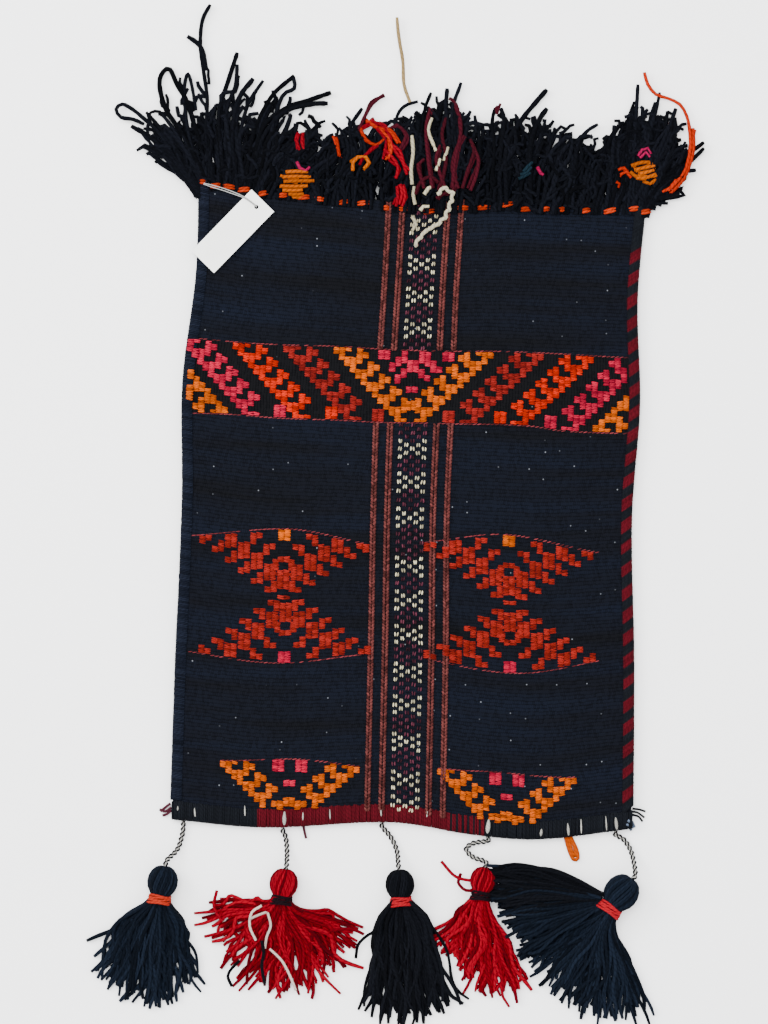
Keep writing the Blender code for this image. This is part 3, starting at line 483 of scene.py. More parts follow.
def ribbed_weave_group():
    """Packed plain weave: rows of small upright stitches, each row half a stitch out of step, or ribs."""
    group = bpy.data.node_groups.new("ribbed_weave", "ShaderNodeTree")
    for label in ("Stitch", "Row", "Ribbed"):
        group.interface.new_socket(label, in_out="INPUT", socket_type="NodeSocketFloat")
    for label in ("Rise", "Lint", "Dye"):
        group.interface.new_socket(label, in_out="OUTPUT", socket_type="NodeSocketFloat")
    given = group.nodes.new("NodeGroupInput").outputs
    place = add(group, "ShaderNodeUVMap", uv_map="weave").outputs[0]
    wobble = add(group, "ShaderNodeTexNoise", {0: place, 2: 160.0, 3: 1.0}).outputs[1]
    shift = add(group, "ShaderNodeVectorMath", {0: wobble, 1: (0.5, 0.5, 0.5)}, operation="SUBTRACT").outputs[0]
    shift = add(group, "ShaderNodeVectorMath", {0: shift, "Scale": 0.0016}, operation="SCALE").outputs[0]
    moved = add(group, "ShaderNodeVectorMath", {0: place, 1: shift}, operation="ADD").outputs[0]
    side = add(group, "ShaderNodeSeparateXYZ", {0: moved}).outputs
    up = reckon(group, "DIVIDE", side[1], given["Row"])
    step = reckon(group, "MULTIPLY", reckon(group, "FLOOR", up), 0.5)
    across = reckon(group, "DIVIDE", side[0], given["Stitch"])
    upright = reckon(group, "ABSOLUTE", reckon(group, "SINE", reckon(group, "MULTIPLY", across, math.pi)))
    stepped = reckon(group, "ADD", across, step)
    stitch = reckon(group, "ABSOLUTE", reckon(group, "SINE", reckon(group, "MULTIPLY", stepped, math.pi)))
    row = reckon(group, "ABSOLUTE", reckon(group, "SINE", reckon(group, "MULTIPLY", up, math.pi)))
    rowed = reckon(group, "MULTIPLY", reckon(group, "POWER", row, 0.5),
                   reckon(group, "MULTIPLY_ADD", stitch, 0.45, 0.55))
    ribbed = reckon(group, "MULTIPLY", reckon(group, "POWER", upright, 0.6),
                    reckon(group, "MULTIPLY_ADD", row, 0.3, 0.7))
    which = add(group, "ShaderNodeCombineXYZ", {0: reckon(group, "FLOOR", stepped),
                                                1: reckon(group, "FLOOR", up)}).outputs[0]
    uneven = add(group, "ShaderNodeTexWhiteNoise", {0: which}, noise_dimensions="3D").outputs[0]
    uneven = reckon(group, "MULTIPLY_ADD", uneven, 0.44, -0.22)
    fibre = add(group, "ShaderNodeTexNoise", {0: place, 2: 900.0, 3: 3.0, 4: 0.7}).outputs[0]
    rise = add(group, "ShaderNodeMix", {0: given["Ribbed"], 2: rowed, 3: ribbed}).outputs[0]
    rise = reckon(group, "ADD", uneven, reckon(group, "MULTIPLY_ADD", rise, 0.62, 0.08))
    rise = reckon(group, "MULTIPLY_ADD", fibre, 0.55, rise)
    specks = add(group, "ShaderNodeTexVoronoi", {0: place, 2: 95.0}, voronoi_dimensions="2D").outputs
    near = add(group, "ShaderNodeMapRange", {0: specks[0], 1: 0.06, 2: 0.02}).outputs[0]
    some = add(group, "ShaderNodeMapRange", {0: add(group, "ShaderNodeSeparateXYZ", {0: specks[1]}).outputs[0],
                                             1: 0.88, 2: 1.0}).outputs[0]
    lint = reckon(group, "MULTIPLY", near, some)
    bars = add(group, "ShaderNodeVectorMath", {0: place, 1: (3.5, 42.0, 1.0)}, operation="MULTIPLY").outputs[0]
    dye = add(group, "ShaderNodeTexNoise", {0: bars, 2: 1.0, 3: 3.0, 4: 0.6}).outputs[0]
    dye = add(group, "ShaderNodeMapRange", {0: dye, 1: 0.35, 2: 0.65}).outputs[0]
    output = group.nodes.new("NodeGroupOutput")
    for label, value in (("Rise", rise), ("Lint", lint), ("Dye", dye)):
        group.links.new(value, output.inputs[label])
    return group


ribbed_weave = ribbed_weave_group()


def cloth_wool(name, colour, other_dye, groove_shade, lint, band=None):
    """Woven wool in one colour with bars of a second dye, with painted shade where the weave lies low between its rows
    and stitches, ribbed in its band.
    """
    made = bpy.data.materials.new(name)
    made.use_nodes = True
    tree = made.node_tree
    shader = tree.nodes["Principled BSDF"]
    woven = tree.nodes.new("ShaderNodeGroup")
    woven.node_tree = ribbed_weave
    woven.inputs["Stitch"].default_value = GROUND_STITCH
    woven.inputs["Row"].default_value = GROUND_ROW
    tone = blended(tree, woven.outputs["Dye"], linear(*colour, DYE_DEPTH), linear(*other_dye, DYE_DEPTH))
    rise = woven.outputs["Rise"]
    if band:
        share = add(tree, "ShaderNodeAttribute", attribute_name="band").outputs["Fac"]
        above = add(tree, "ShaderNodeMapRange", {0: share, 1: -0.02, 2: 0.0}).outputs[0]
        below = add(tree, "ShaderNodeMapRange", {0: share, 1: 1.02, 2: 1.0}).outputs[0]
        inside = reckon(tree, "MULTIPLY", above, below)
        coarse = tree.nodes.new("ShaderNodeGroup")
        coarse.node_tree = ribbed_weave
        coarse.inputs["Stitch"].default_value = COLUMN / 2
        coarse.inputs["Row"].default_value = ROW
        coarse.inputs["Ribbed"].default_value = 1.0
        tone = blended(tree, inside, tone, linear(*band, DYE_DEPTH))
        rise = add(tree, "ShaderNodeMix", {0: inside, 2: rise, 3: coarse.outputs["Rise"]}).outputs[0]
    # Painted shade: the groove colour where the weave lies low, between its rows and stitches.
    lit = add(tree, "ShaderNodeMapRange", {0: rise, 1: 0.2, 2: 0.85}).outputs[0]
    tone = blended(tree, lit, linear(*groove_shade, DYE_DEPTH), tone)
    tone = blended(tree, reckon(tree, "MULTIPLY", woven.outputs["Lint"], 0.75), tone, linear(*lint, DYE_DEPTH))
    tree.links.new(tone, shader.inputs["Base Color"])
    bump = add(tree, "ShaderNodeBump", {0: 0.9, 1: 0.0006, 3: rise})
    tree.links.new(bump.outputs[0], shader.inputs["Normal"])
    shader.inputs["Roughness"].default_value = WOOL_ROUGHNESS
    shader.inputs["Specular IOR Level"].default_value = WOOL_SHINE
    shader.inputs["Sheen Weight"].default_value = 0.008
    shader.inputs["Sheen Roughness"].default_value = BLOOM_ROUGHNESS
    return made


# Colours: ground, second dye, painted shade between the rows, lint, and the band's ground.
front_weave = cloth_wool("front_weave", (25, 30, 44), (22, 23, 28), (7, 8, 12), (190, 196, 206), band=(24, 24, 27))
front_cloth = cloth_sheet("front_cloth", front_low, front_top, CLOTH_COLUMNS, CLOTH_ROWS, front_weave)
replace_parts(front_cloth, "front_panel")


# The back cloth: plain weave of the same wool in its two dark dyes, as long and as wide as the front.
# It lies flat on the table, raised a little at its edges by the bindings that wrap round them.
BACK_COLUMNS = 70
BACK_ROWS = 96

# Colours: ground, second dye, painted shade between the rows, and lint.
back_weave = cloth_wool("back_weave", (24, 31, 52), (21, 23, 28), (7, 8, 13), (170, 176, 190))
back_cloth = cloth_sheet("back_cloth", back_low, lambda s, t: back_low(s, t) + CLOTH_THICK, BACK_COLUMNS, BACK_ROWS,
                         back_weave)
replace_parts(back_cloth, "back_panel")


# The brocade: fat wool floats laid in over the ground weave, one warp column wide and one row high,
# that build slanting combs in the band, four fans in the middle and two hooked bowls at the foot.
COMB_FIRST = 0.0561
COMB_SPACING = 0.0354
COMB_COLOURS = ("yellow", "rust", "orange", "pink")
BAND_ROWS = 24
LAST_COMB_FOOT = 0.1270
SQUARES = ((280, "pink"), (331.5, "orange"), (378, "rust"), (448.5, "rust"), (500, "orange"), (550.5, "pink"))
SQUARES_SEEN_AT = 415
SQUARE_ROWS = (20, 23)
# The motif in the band's middle: for each side, columns with their first and last rows.
CENTRE_MOTIF = ((-1, ((0, 3, 6), (1, 0, 3), (1, 6, 8), (2, 2, 4), (2, 8, 10), (3, 4, 6), (4, 0, 2), (5, 0, 2))),
                (1, ((0, 3, 6), (1, 0, 3), (1, 6, 8), (2, 0, 4), (2, 8, 9), (3, 3, 6), (4, 5, 6), (5, 0, 2),
                     (6, 0, 2))))
FAN_COLUMN = 0.00427
FAN_ROW = 0.00184
# Each fan: three points of its wide line in the view, which way it narrows, and its middle's colour.
FANS = ((((187, 536.5), (284.8, 529.5), (364, 544)), 1, "yellow"),
        (((188, 650.5), (284.3, 662), (362, 653.5)), -1, "pink"),
        (((420, 543.5), (508.7, 535.5), (599, 553.5)), 1, "yellow"),
        (((423, 657), (509.6, 672), (599, 660)), -1, "pink"))
KNOTS = ((284, 597), (509.3, 602.5))
BOWL_COLUMN = 0.0040
BOWL_ROW = 0.0020
BOWLS = (((220, 761), (290, 759.5), (359.5, 767)), ((438, 768.5), (507, 773.5), (575, 778)))
OVER_BINDING = 0.0022
OVER_STRIPES = 0.0010
STRIPES_REACH = 0.034
# Points of a float: share of its reach, height over the cloth, share of its width.
FLOAT_SHAPE = ((-1, -0.0006, 0.7), (-0.7, 0.0002, 0.95), (0, 0.0005, 1.0), (0.7, 0.0002, 0.95), (1, -0.0006, 0.7))
DASH_WIDTHS = [0.0006, 0.0009, 0.0006]
DASHES_WORN = 0.12
FLOAT_SIDES = 5

random.seed(23)
laid = {}
edge_dashes = []


def lay(colour, s, t, column, row):
    """Lay one float, of two threads side by side, in that colour with its middle at a place on the cloth."""
    if not 0.001 < s < BAG_WIDTH - SIDE_LEG - 0.001:
        return
    t += random.uniform(-0.00015, 0.00015)
    over = OVER_BINDING if t < FOOT_FLAT + 0.001 or not SIDE_LEG < s < BAG_WIDTH - SIDE_LEG else 0.0
    if colour == "brick" and abs(s - CENTRE) < STRIPES_REACH:
        over += OVER_STRIPES
    shade = random.random()
    for strand_at in (-0.26, 0.26):
        reach = column * random.uniform(0.46, 0.56)
        fat = row * random.uniform(0.56, 0.68)
        rest = over + random.uniform(-0.0001, 0.0002)
        tilt = random.uniform(-0.0004, 0.0003)
        points, widths = [], []
        for share, rise, wide in FLOAT_SHAPE:
            at, up = s + share * reach, t + strand_at * row + share * tilt
            points.append((*cloth_point(at, up), front_top(at, up) + rest + rise))
            widths.append(fat * wide)
        own_shade = min(1.0, max(0.0, shade + random.uniform(-0.15, 0.15)))
        laid.setdefault(colour, []).append((points, widths, own_shade))


def lay_cells(colour, cells, start, line, across, down, column=COLUMN, row=ROW):
    """Lay floats in cells counted in columns from a start and in rows from a line across the cloth."""
    for place, level in cells:
        s = start + across * (place + 0.5) * column
        lay(colour, s, curve_value(line, s) - down * (level + 0.5) * row, column, row)


def block(columns, rows, last_row=999):
    """Cells of a block, its first and last columns and rows included, cut off at the line and at a last row."""
    return [(c, r) for c in range(columns[0], columns[1] + 1) for r in range(rows[0], rows[1] + 1)
            if 0 <= r <= last_row]


def comb(units, last_row=999):
    """Cells of a stepped bar with a hooked barb on the inner side of each step."""
    cells = []
    for n in range(units):
        c, r = 2 * n, 4 * n - 1
        cells += block((c, c), (r, r + 2), last_row) + block((c + 1, c + 1), (r, r + 4), last_row)
        cells += block((c + 2, c + 2), (r - 3, r + 1), last_row) + block((c + 3, c + 3), (r - 2, r - 1), last_row)
    return cells


def half_fan():
    """Cells of half a fan: pairs of columns that step out to the wide line, hooked on both sides."""
    cells = block((0, 0), (15, 21)) + block((1, 1), (19, 22)) + block((2, 2), (21, 22))
    cells += block((0, 0), (10, 11)) + [(0.8, r) for r in (11, 12, 13, 14, 16)]
    for k in range(1, 5):
        c, r = 2.2 * k - 1.0, 17 - 4.4 * k
        cells += [(c + d, r + n) for d in (0, 1) for n in range(6)]
        cells += [(c + 2.1, r + n) for n in (3, 4, 5, 6)] + [(c + 3.1, r + n) for n in (5, 6)]
        if k > 1:
            cells += [(c - 1, r - n) for n in (0, 1, 2, 3)] + [(c - 2, r - n) for n in (2, 3)]
    return [(c, r) for c, r in cells if r > -0.5] + block((12, 12), (0, 1)) + block((13, 13), (0, 2))


def half_bowl():
    """Cells of half a bowl: a comb that turns in at its foot to meet the other half."""
    return comb(4) + block((9, 9), (14, 15)) + block((10, 10), (14, 16)) + block((11, 11), (13, 15))


def edge_line(first, last, line, away):
    """Thin outline of short slanting stitches along a motif's edge."""
    count = int((last - first) / (0.75 * COLUMN))
    for k in range(count):
        s = first + (k + 0.5) * (last - first) / count
        if not 0.002 < s < BAG_WIDTH - 0.002 or random.random() < DASHES_WORN:
            continue
        t = curve_value(line, s) + away
        points = []
        for share in (-1, 0, 1):
            at, up = s + share * 0.34 * COLUMN, t + share * 0.0003
            points.append((*cloth_point(at, up), front_top(at, up) + (0.0004 if share == 0 else -0.0002)))
        edge_dashes.append((points, DASH_WIDTHS, random.random()))


def band_cells(colour, cells, start, across):
    """Lay floats in the band, whose rows fill the height between its two lines."""
    for place, level in cells:
        s = start + across * (place + 0.5) * COLUMN
        high, low = curve_value(band_top, s), curve_value(band_bottom, s)
        lay(colour, s, high - (level + 0.5) * (high - low) / BAND_ROWS, COLUMN, ROW)


whole_comb = comb(6, BAND_ROWS - 1) + [(12, BAND_ROWS - 1), (13, BAND_ROWS - 1)]
for place, colour in enumerate(COMB_COLOURS):
    for side in (-1, 1):
        start = COMB_FIRST + place * COMB_SPACING
        cells = [(c, r) for c, r in whole_comb if start - (c + 0.5) * COLUMN > 0.4 * COLUMN]
        band_cells(colour, cells, CENTRE + side * start, -side)
for side in (-1, 1):
    turned = [(c, BAND_ROWS - 1 - r) for c, r in whole_comb]
    band_cells("yellow", turned, CENTRE + side * LAST_COMB_FOOT, side)
for x, colour in SQUARES:
    s, t = cloth_place(*seen(x, SQUARES_SEEN_AT))
    band_cells(colour, block((-1, 0), SQUARE_ROWS), s, 1)
for side, parts in CENTRE_MOTIF:
    for column, first, last in parts:
        band_cells("pink", block((column, column), (first, last)), CENTRE, side)
band_cells("pink", block((-1, 0), (12, 13)), CENTRE, 1)
band_cells("yellow", block((-1, 0), (17, 19)), CENTRE, 1)
edge_line(0.0, BAG_WIDTH, band_top, 0.0008)
edge_line(0.0, BAG_WIDTH, band_bottom, -0.0008)

for corners, down, knot in FANS:
    line = line_on_cloth(corners)
    centre = line[1][0]
    for side in (-1, 1):
        lay_cells("brick", half_fan(), centre, line, side, down, FAN_COLUMN, FAN_ROW)
    lay_cells(knot, block((-1, 0), (0, 3)), centre, line, 1, down, FAN_COLUMN, FAN_ROW)
    edge_line(line[0][0], line[2][0], line, down * 0.0005)
for x, y in KNOTS:
    s, t = cloth_place(*seen(x, y))
    for side in (-0.5, 0.5):
        lay("brick", s + side * FAN_COLUMN, t, FAN_COLUMN, ROW * 1.2)

for corners in BOWLS:
    line = line_on_cloth(corners)
    centre = line[1][0]
    for side in (-1, 1):
        lay_cells("yellow", half_bowl(), centre + side * 12 * BOWL_COLUMN, line, -side, 1, BOWL_COLUMN, BOWL_ROW)
        lay_cells("pink", block((1, 2), (0, 3)), centre, line, side, 1, BOWL_COLUMN, BOWL_ROW)
    lay_cells("pink", block((-1, 0), (7, 8)), centre, line, 1, 1, BOWL_COLUMN, BOWL_ROW)
    edge_line(line[0][0], line[2][0], line, 0.0005)

# Each brocade wool: its colour, the painted shade in its grooves, and its flecks of pale fibre and painted highlight.
WOOLS = {
    "yellow": ((255, 112, 0), (140, 40, 0), (255, 124, 0)),
    "orange": ((255, 44, 0), (120, 12, 0), (255, 64, 0)),
    "rust": ((168, 40, 36), (70, 10, 14), (196, 80, 64)),
    "pink": ((222, 30, 70), (96, 8, 28), (240, 70, 104)),
    "brick": ((178, 42, 34), (66, 8, 16), (228, 102, 62)),
}
BROCADE_DEPTH = {"yellow": 0.33, "orange": 0.32}
for colour, lines in laid.items():
    dyed = wool("brocade_" + colour, *WOOLS[colour], twist=0.0026, variation=0.9, relief=0.0006,
                depth=BROCADE_DEPTH.get(colour, DYE_DEPTH))
    yarns("brocade_" + colour, lines, dyed, FLOAT_SIDES)
outline_wool = wool("brocade_outline", (150, 60, 66), (60, 20, 26), (216, 160, 150), variation=1.3)
yarns("brocade_outlines", edge_dashes, outline_wool, FLOAT_SIDES)


# The warp stripes: four rust-red stripes of slanting twill floats, and between them a column of
# cream crosses and dark red checks, all floated up from the warp and broken where the band crosses.
STRIPE_OFFSETS = ((0.0161, 0.0052), (0.0259, 0.0046))
TWILL_PITCH = 0.0023
CHECK_PITCH = 0.0042
CHECK_ROW = 0.0028
# Cream columns of a cross's rows, counted from its middle row, and the crosses' heights in the view.
CROSS_ROWS = {-2: (0, 4), -1: (1, 3), 0: (0, 2, 4), 1: (1, 3), 2: (0, 4)}
CROSSES_SEEN = (226, 265.5, 297.5, 329, 449, 482, 518, 566, 600, 634.5, 671, 705, 741.5, 780, 806)
CROSSES_SEEN_AT = 408
STRIPES_MIDDLE = CENTRE + 0.0021
TWILL_LEAN = 0.00055
TWILL_REACH = 0.00125
TWILL_WIDTHS = [0.0013, 0.0020, 0.0020, 0.0013]
THREAD_OFFSET = 0.00078
CHECK_REACH = 0.00115
OVER_HEM = 0.0016
PROUD = 0.0007

random.seed(37)
twill, crosses, checks = [], [], []
cross_heights = sorted(cloth_place(*seen(CROSSES_SEEN_AT, y))[1] for y in CROSSES_SEEN)


def check_rows(low, high):
    """Rows of the middle column from low to high as (height, level), with whole rows from cross to cross."""
    heights = [height for height in cross_heights if low < height < high]
    first, last = heights[0], heights[-1]
    rows = [(first - step * CHECK_ROW, -step) for step in range(1, 12) if first - step * CHECK_ROW > low]
    for near, far in zip(heights, heights[1:]):
        count = max(6, 2 * round((far - near) / CHECK_ROW / 2))
        for step in range(count):
            rows.append((near + step * (far - near) / count, step - count if step >= count - 2 else step))
    return rows + [(last + step * CHECK_ROW, step) for step in range(12) if last + step * CHECK_ROW < high]


for low, high in ((FOOT_FLAT - 0.004, curve_value(band_bottom, CENTRE) - 0.002),
                  (curve_value(band_top, CENTRE) + 0.002, BAG_LENGTH - 0.001)):
    t = low
    while t < high:
        for offset, width in STRIPE_OFFSETS:
            for side in (-1, 1):
                for half_stripe in (-1, 1):
                    s = STRIPES_MIDDLE + side * offset + half_stripe * width * 0.23
                    lean = half_stripe * TWILL_LEAN
                    over = OVER_HEM if t < FOOT_FLAT else 0.0
                    points = [(*cloth_point(s + share * lean, t + share * TWILL_REACH),
                               front_top(s, t) + over + PROUD - 0.0006 * share * share)
                              for share in (-1, -0.4, 0.4, 1)]
                    twill.append((points, TWILL_WIDTHS, random.random()))
        t += TWILL_PITCH
    for t, level in check_rows(low, high):
        for column in range(5):
            white = column in CROSS_ROWS.get(level, ())
            if not white and (column + level) % 2:
                continue
            for part in (-1, 1):
                s = STRIPES_MIDDLE + (column - 2) * CHECK_PITCH + part * THREAD_OFFSET + random.uniform(-0.0002, 0.0002)
                over = OVER_HEM if t < FOOT_FLAT else 0.0
                up = random.uniform(-0.0002, 0.0002)
                slant = random.uniform(-0.00025, 0.00035)
                points = [(*cloth_point(s + share * slant, t + up + share * CHECK_REACH),
                           front_top(s, t) + over + PROUD - 0.0007 * share * share) for share in (-1, -0.4, 0.4, 1)]
                thick = random.uniform(0.78, 0.98)
                line = (points, [0.0010 * thick, 0.0014 * thick, 0.0014 * thick, 0.0010 * thick], random.random())
                (crosses if white else checks).append(line)
stripe_wool = wool("stripe_wool", (116, 60, 57), (44, 18, 20), (200, 140, 130), 0.0022, 1.2)
cross_wool = wool("cross_wool", (250, 240, 200), (150, 130, 90), (255, 252, 236), 0.0022, 1.1)
check_wool = wool("check_wool", (104, 50, 66), (30, 14, 24), (190, 140, 150), 0.0022, 1.5)
stripes = yarns("warp_stripes", twill, stripe_wool, FLOAT_SIDES)
cream_crosses = yarns("cream_crosses", crosses, cross_wool, FLOAT_SIDES)
dark_checks = yarns("dark_checks", checks, check_wool, FLOAT_SIDES)


# The overcast bindings: single-ply wool wrapped round both cloths' edges, close turn by turn. The right
# side has slanting stripes of dark red and black, the left is dark blue, the hem is black, red and black.
SIDE_STRIPE = 0.0156
SIDE_SLANT = 0.0042
PLAIN_FROM = BAG_LENGTH - 0.028
SIDE_TURN = 0.0012
HEM_TURN = 0.0013
HEM_RED_FROM = 0.182
HEM_RED_TO = 0.680
HEM_MIXED = 0.08
TURN_POINTS = 10

random.seed(41)


def wrap(across, turn, leg, slant, at, wide):
    """Line of one turn of wool round the edge, from under the back cloth to over the front one."""
    s, t = at
    low, high = back_low(*turn) - CLEAR - 0.3 * wide, front_low(*turn) + CLOTH_THICK + CLEAR + 0.45 * wide
    points = []
    middle, half_high = (low + high) / 2, (high - low) / 2
    for depth, z in ((leg, low), (leg * 0.5, low), (0.0004, low + 0.1 * half_high),
                     (-0.0009, middle - 0.55 * half_high), (-0.0013, middle), (-0.0009, middle + 0.55 * half_high),
                     (0.0004, high - 0.1 * half_high), (leg * 0.35, high + 0.0002), (leg * 0.7, high + 0.0001),
                     (leg, high - 0.0010)):
        over = slant * (z - low) / (high - low) * (0.3 + 0.7 * max(0.0, 1 - abs(depth) / leg)) if slant else 0.0
        points.append((*across(depth, over, s, t), max(z, 0.45 * wide)))
    return points


def left_edge(depth, over, s, t):
    """Place on the table at a depth in from the left edge."""
    return cloth_point(depth, t + over)


def right_edge(depth, over, s, t):
    """Place on the table at a depth in from the right edge, where the turns slant."""
    return cloth_point(BAG_WIDTH - depth, t + over + SIDE_SLANT * (1 - depth / SIDE_LEG))


def foot_edge(depth, over, s, t):
    """Place on the table at a depth up from the foot."""
    return cloth_point(s + over, depth)


side_turns = {"left": [], "red": [], "black": []}
bottom = HEM_LEG + 2 * CLEAR
count = int((BAG_LENGTH - bottom) / SIDE_TURN)
for k in range(count):
    t = bottom + (k + 0.5) * SIDE_TURN
    wide = random.uniform(0.0014, 0.0018)
    points = wrap(left_edge, (0, t), SIDE_LEG, 0.0005, (0, t), wide)
    side_turns["left"].append((points, [wide] * TURN_POINTS, random.random()))
    stripe = int(2 * (t - bottom) / SIDE_STRIPE) % 2 and t < PLAIN_FROM
    points = wrap(right_edge, (BAG_WIDTH, t), SIDE_LEG, 0.0, (0, t - SIDE_SLANT / 2), wide)
    side_turns["red" if stripe else "black"].append((points, [wide] * TURN_POINTS, random.random()))
hem_turns = {"left": [], "middle": [], "right": []}
count = int(BAG_WIDTH / HEM_TURN)
for k in range(count + 1):
    s = k * BAG_WIDTH / count
    wide = random.uniform(0.0016, 0.0020)
    leg = HEM_LEG * random.uniform(0.93, 1.04)
    share = s / BAG_WIDTH
    where = "left" if share < HEM_RED_FROM else "middle" if share < HEM_RED_TO else "right"
    if where == "middle" and HEM_RED_TO - share < HEM_MIXED and k % 3 == 0:
        where = "right"
    points = wrap(foot_edge, (s, 0), leg, random.uniform(-0.0003, 0.0006), (s, 0), wide)
    hem_turns[where].append((points, [wide] * TURN_POINTS, random.random()))

black_wool = wool("binding_black_wool", (28, 31, 37), (12, 13, 16), (52, 57, 66), 0.0030, 0.35, 0.01)
red_wool = wool("binding_red_wool", (102, 20, 32), (46, 6, 14), (134, 54, 62), 0.0030, 0.4, 0.01)
dark_blue_wool = wool("binding_dark_blue_wool", (29, 34, 48), (8, 9, 14), (60, 66, 82), 0.0030, 0.8, 0.01)
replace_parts(yarns("side_wraps_left", side_turns["left"], dark_blue_wool), "side_binding_left")
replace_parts(yarns("side_wraps_right_red", side_turns["red"], red_wool), "side_binding_right")
yarns("side_wraps_right_black", side_turns["black"], black_wool)
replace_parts(yarns("hem_wraps_left", hem_turns["left"], black_wool), "hem_binding_left")
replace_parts(yarns("hem_wraps_middle", hem_turns["middle"], red_wool), "hem_binding_middle")
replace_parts(yarns("hem_wraps_right", hem_turns["right"], black_wool), "hem_binding_right")


# The stitches: a row of orange running stitches below the mouth, and short ends of white cotton
# where the hem was sewn to the tassels' cords.
STITCHES = ((203, 182), (215, 186), (229, 187), (244.5, 190), (263, 194), (283, 196), (303.5, 198), (320, 200),
            (344, 203), (364, 204), (386, 209), (404, 210), (429, 212.5), (462, 209), (483, 208.6), (506, 205.5),
            (525, 210), (544, 210), (562, 210), (585, 211), (610, 211), (634, 209), (645, 212))
# Each short end: its middle in the view, its length in the view's units, and its width.
HEM_STITCHES = ((178, 808, 5, 0.0011), (195, 812, 9, 0.0010), (245, 811, 11, 0.0010), (284.5, 818, 13, 0.0026),
                (303, 816, 8, 0.0010), (330, 814, 10, 0.0010), (381, 812, 8, 0.0012), (427, 813, 9, 0.0010),
                (488, 826, 13, 0.0030), (541, 832, 7, 0.0018), (568, 829, 12, 0.0018), (581, 826, 14, 0.0010),
                (606, 823, 14, 0.0010), (616, 823, 12, 0.0022))
SHORT_STITCHES = (0, 10)
STITCH_SHAPE = ((-1, -0.0004, 0.6), (-0.5, 0.0009, 1.0), (0, 0.0013, 1.1), (0.5, 0.0009, 1.0), (1, -0.0004, 0.6))
STITCH_PLY = 0.0019
PLY_OFFSET = 0.00085
HEM_END_SHARES = (0.5, 1, 1.05, 0.8, 0.4)

random.seed(43)
running = []
for number, (x, y) in enumerate(STITCHES):
    long = 0.5 * UNIT * (7.0 if number in SHORT_STITCHES else random.uniform(9.5, 13.0))
    tilt = random.uniform(-0.15, 0.25)
    for strand_side in (-1, 1):
        points, widths = [], []
        for share, rise, wide in STITCH_SHAPE:
            px, py = seen(x, y)
            px += share * long
            py += share * long * tilt + strand_side * PLY_OFFSET
            s, t = cloth_place(px, py)
            points.append((px, py, front_top(min(max(s, 0), BAG_WIDTH), min(t, BAG_LENGTH)) + 0.0004 + rise))
            widths.append(STITCH_PLY * wide)
        running.append((points, widths, random.random()))
orange_wool = wool("stitch_orange_wool", (204, 58, 18), (100, 20, 8), (236, 106, 60), 0.0040, 0.9)
running_stitches = yarns("running_stitches", running, orange_wool)

hem_ends = []
for x, y, tall, wide in HEM_STITCHES:
    middle = seen(x, y)
    lean = random.uniform(-0.12, 0.12)
    points = []
    for share in (-1, -0.5, 0, 0.5, 1):
        rise = 0.0026 - 0.0012 * share * share
        up = share * tall * UNIT / 2
        spot = (middle[0] + lean * up, middle[1] + up)
        at_s, at_t = cloth_place(*spot)
        points.append((*spot, front_top(min(max(at_s, 0), BAG_WIDTH), max(at_t, 0.0)) + rise))
    hem_ends.append((points, [part * wide for part in HEM_END_SHARES], random.random()))
sewing_cotton = wool("sewing_cotton", (226, 224, 214), (130, 128, 120), (250, 250, 246), 0.0020, 0.5)
hem_stitches = yarns("hem_stitches", hem_ends, sewing_cotton)


# The tails of the hem's wools: ends of the binding and brocade yarns that hang out at the foot and its
# corners, some of them in pairs, and one orange loop that lies on the table beside the fifth tassel.
HEM_TAILS = {
    "orange": (((565, 834), (567, 842), (570, 852), (574, 860), (578, 859), (577, 851), (573, 842), (569, 834)),
               ((567, 834), (570, 844), (573, 854), (576, 856), (575, 848), (571, 838))),
    "brown": (((303, 822), (304, 830), (306, 839)), ((170, 804), (165, 808), (160, 812)),
              ((171, 808), (165, 812), (159, 810)), ((171, 811), (166, 815), (162, 816))),
    "black": (((632, 812), (638, 813), (645, 818)), ((632, 815), (639, 817), (643, 822)),
              ((633, 809), (640, 810), (646, 812))),
    "pale_blue": (((628, 820), (631, 824), (633, 829)), ((630, 819), (633, 823), (635, 828)),
                  ((627, 824), (630, 828), (632, 831))),
}
TAIL_WIDTHS = {"orange": 0.0028, "brown": 0.0020, "black": 0.0016, "pale_blue": 0.0020}
TAIL_ON_TABLE = 0.0016
# Each tail's wool: its colour, the painted shade in its grooves, and its flecks of pale fibre and painted highlight.
TAIL_WOOLS = {
    "orange": ((226, 92, 6), (130, 40, 0), (250, 140, 40)), "brown": ((96, 44, 58), (40, 16, 24), (140, 84, 92)),
    "black": ((24, 26, 32), (8, 8, 10), (56, 60, 70)), "pale_blue": ((132, 150, 176), (60, 70, 90), (190, 204, 220)),
}
for colour, routes in HEM_TAILS.items():
    lines = []
    for route in routes:
        line = []
        for spot in smooth([(*seen(x, y), 0.0) for x, y in route], 0.0012):
            s, t = cloth_place(spot.x, spot.y)
            on_cloth = ease((t + 0.001) / 0.003) * ease((s + 0.001) / 0.003) * ease((BAG_WIDTH + 0.001 - s) / 0.003)
            top = front_top(min(max(s, 0), BAG_WIDTH), max(t, 0.0)) + 0.0022
            line.append((spot.x, spot.y, TAIL_ON_TABLE + (top - TAIL_ON_TABLE) * on_cloth))
        lines.append((line, [TAIL_WIDTHS[colour]] * len(line), random.random()))
    yarns("hem_tails_" + colour, lines, wool("hem_tail_" + colour, *TAIL_WOOLS[colour]), 5)


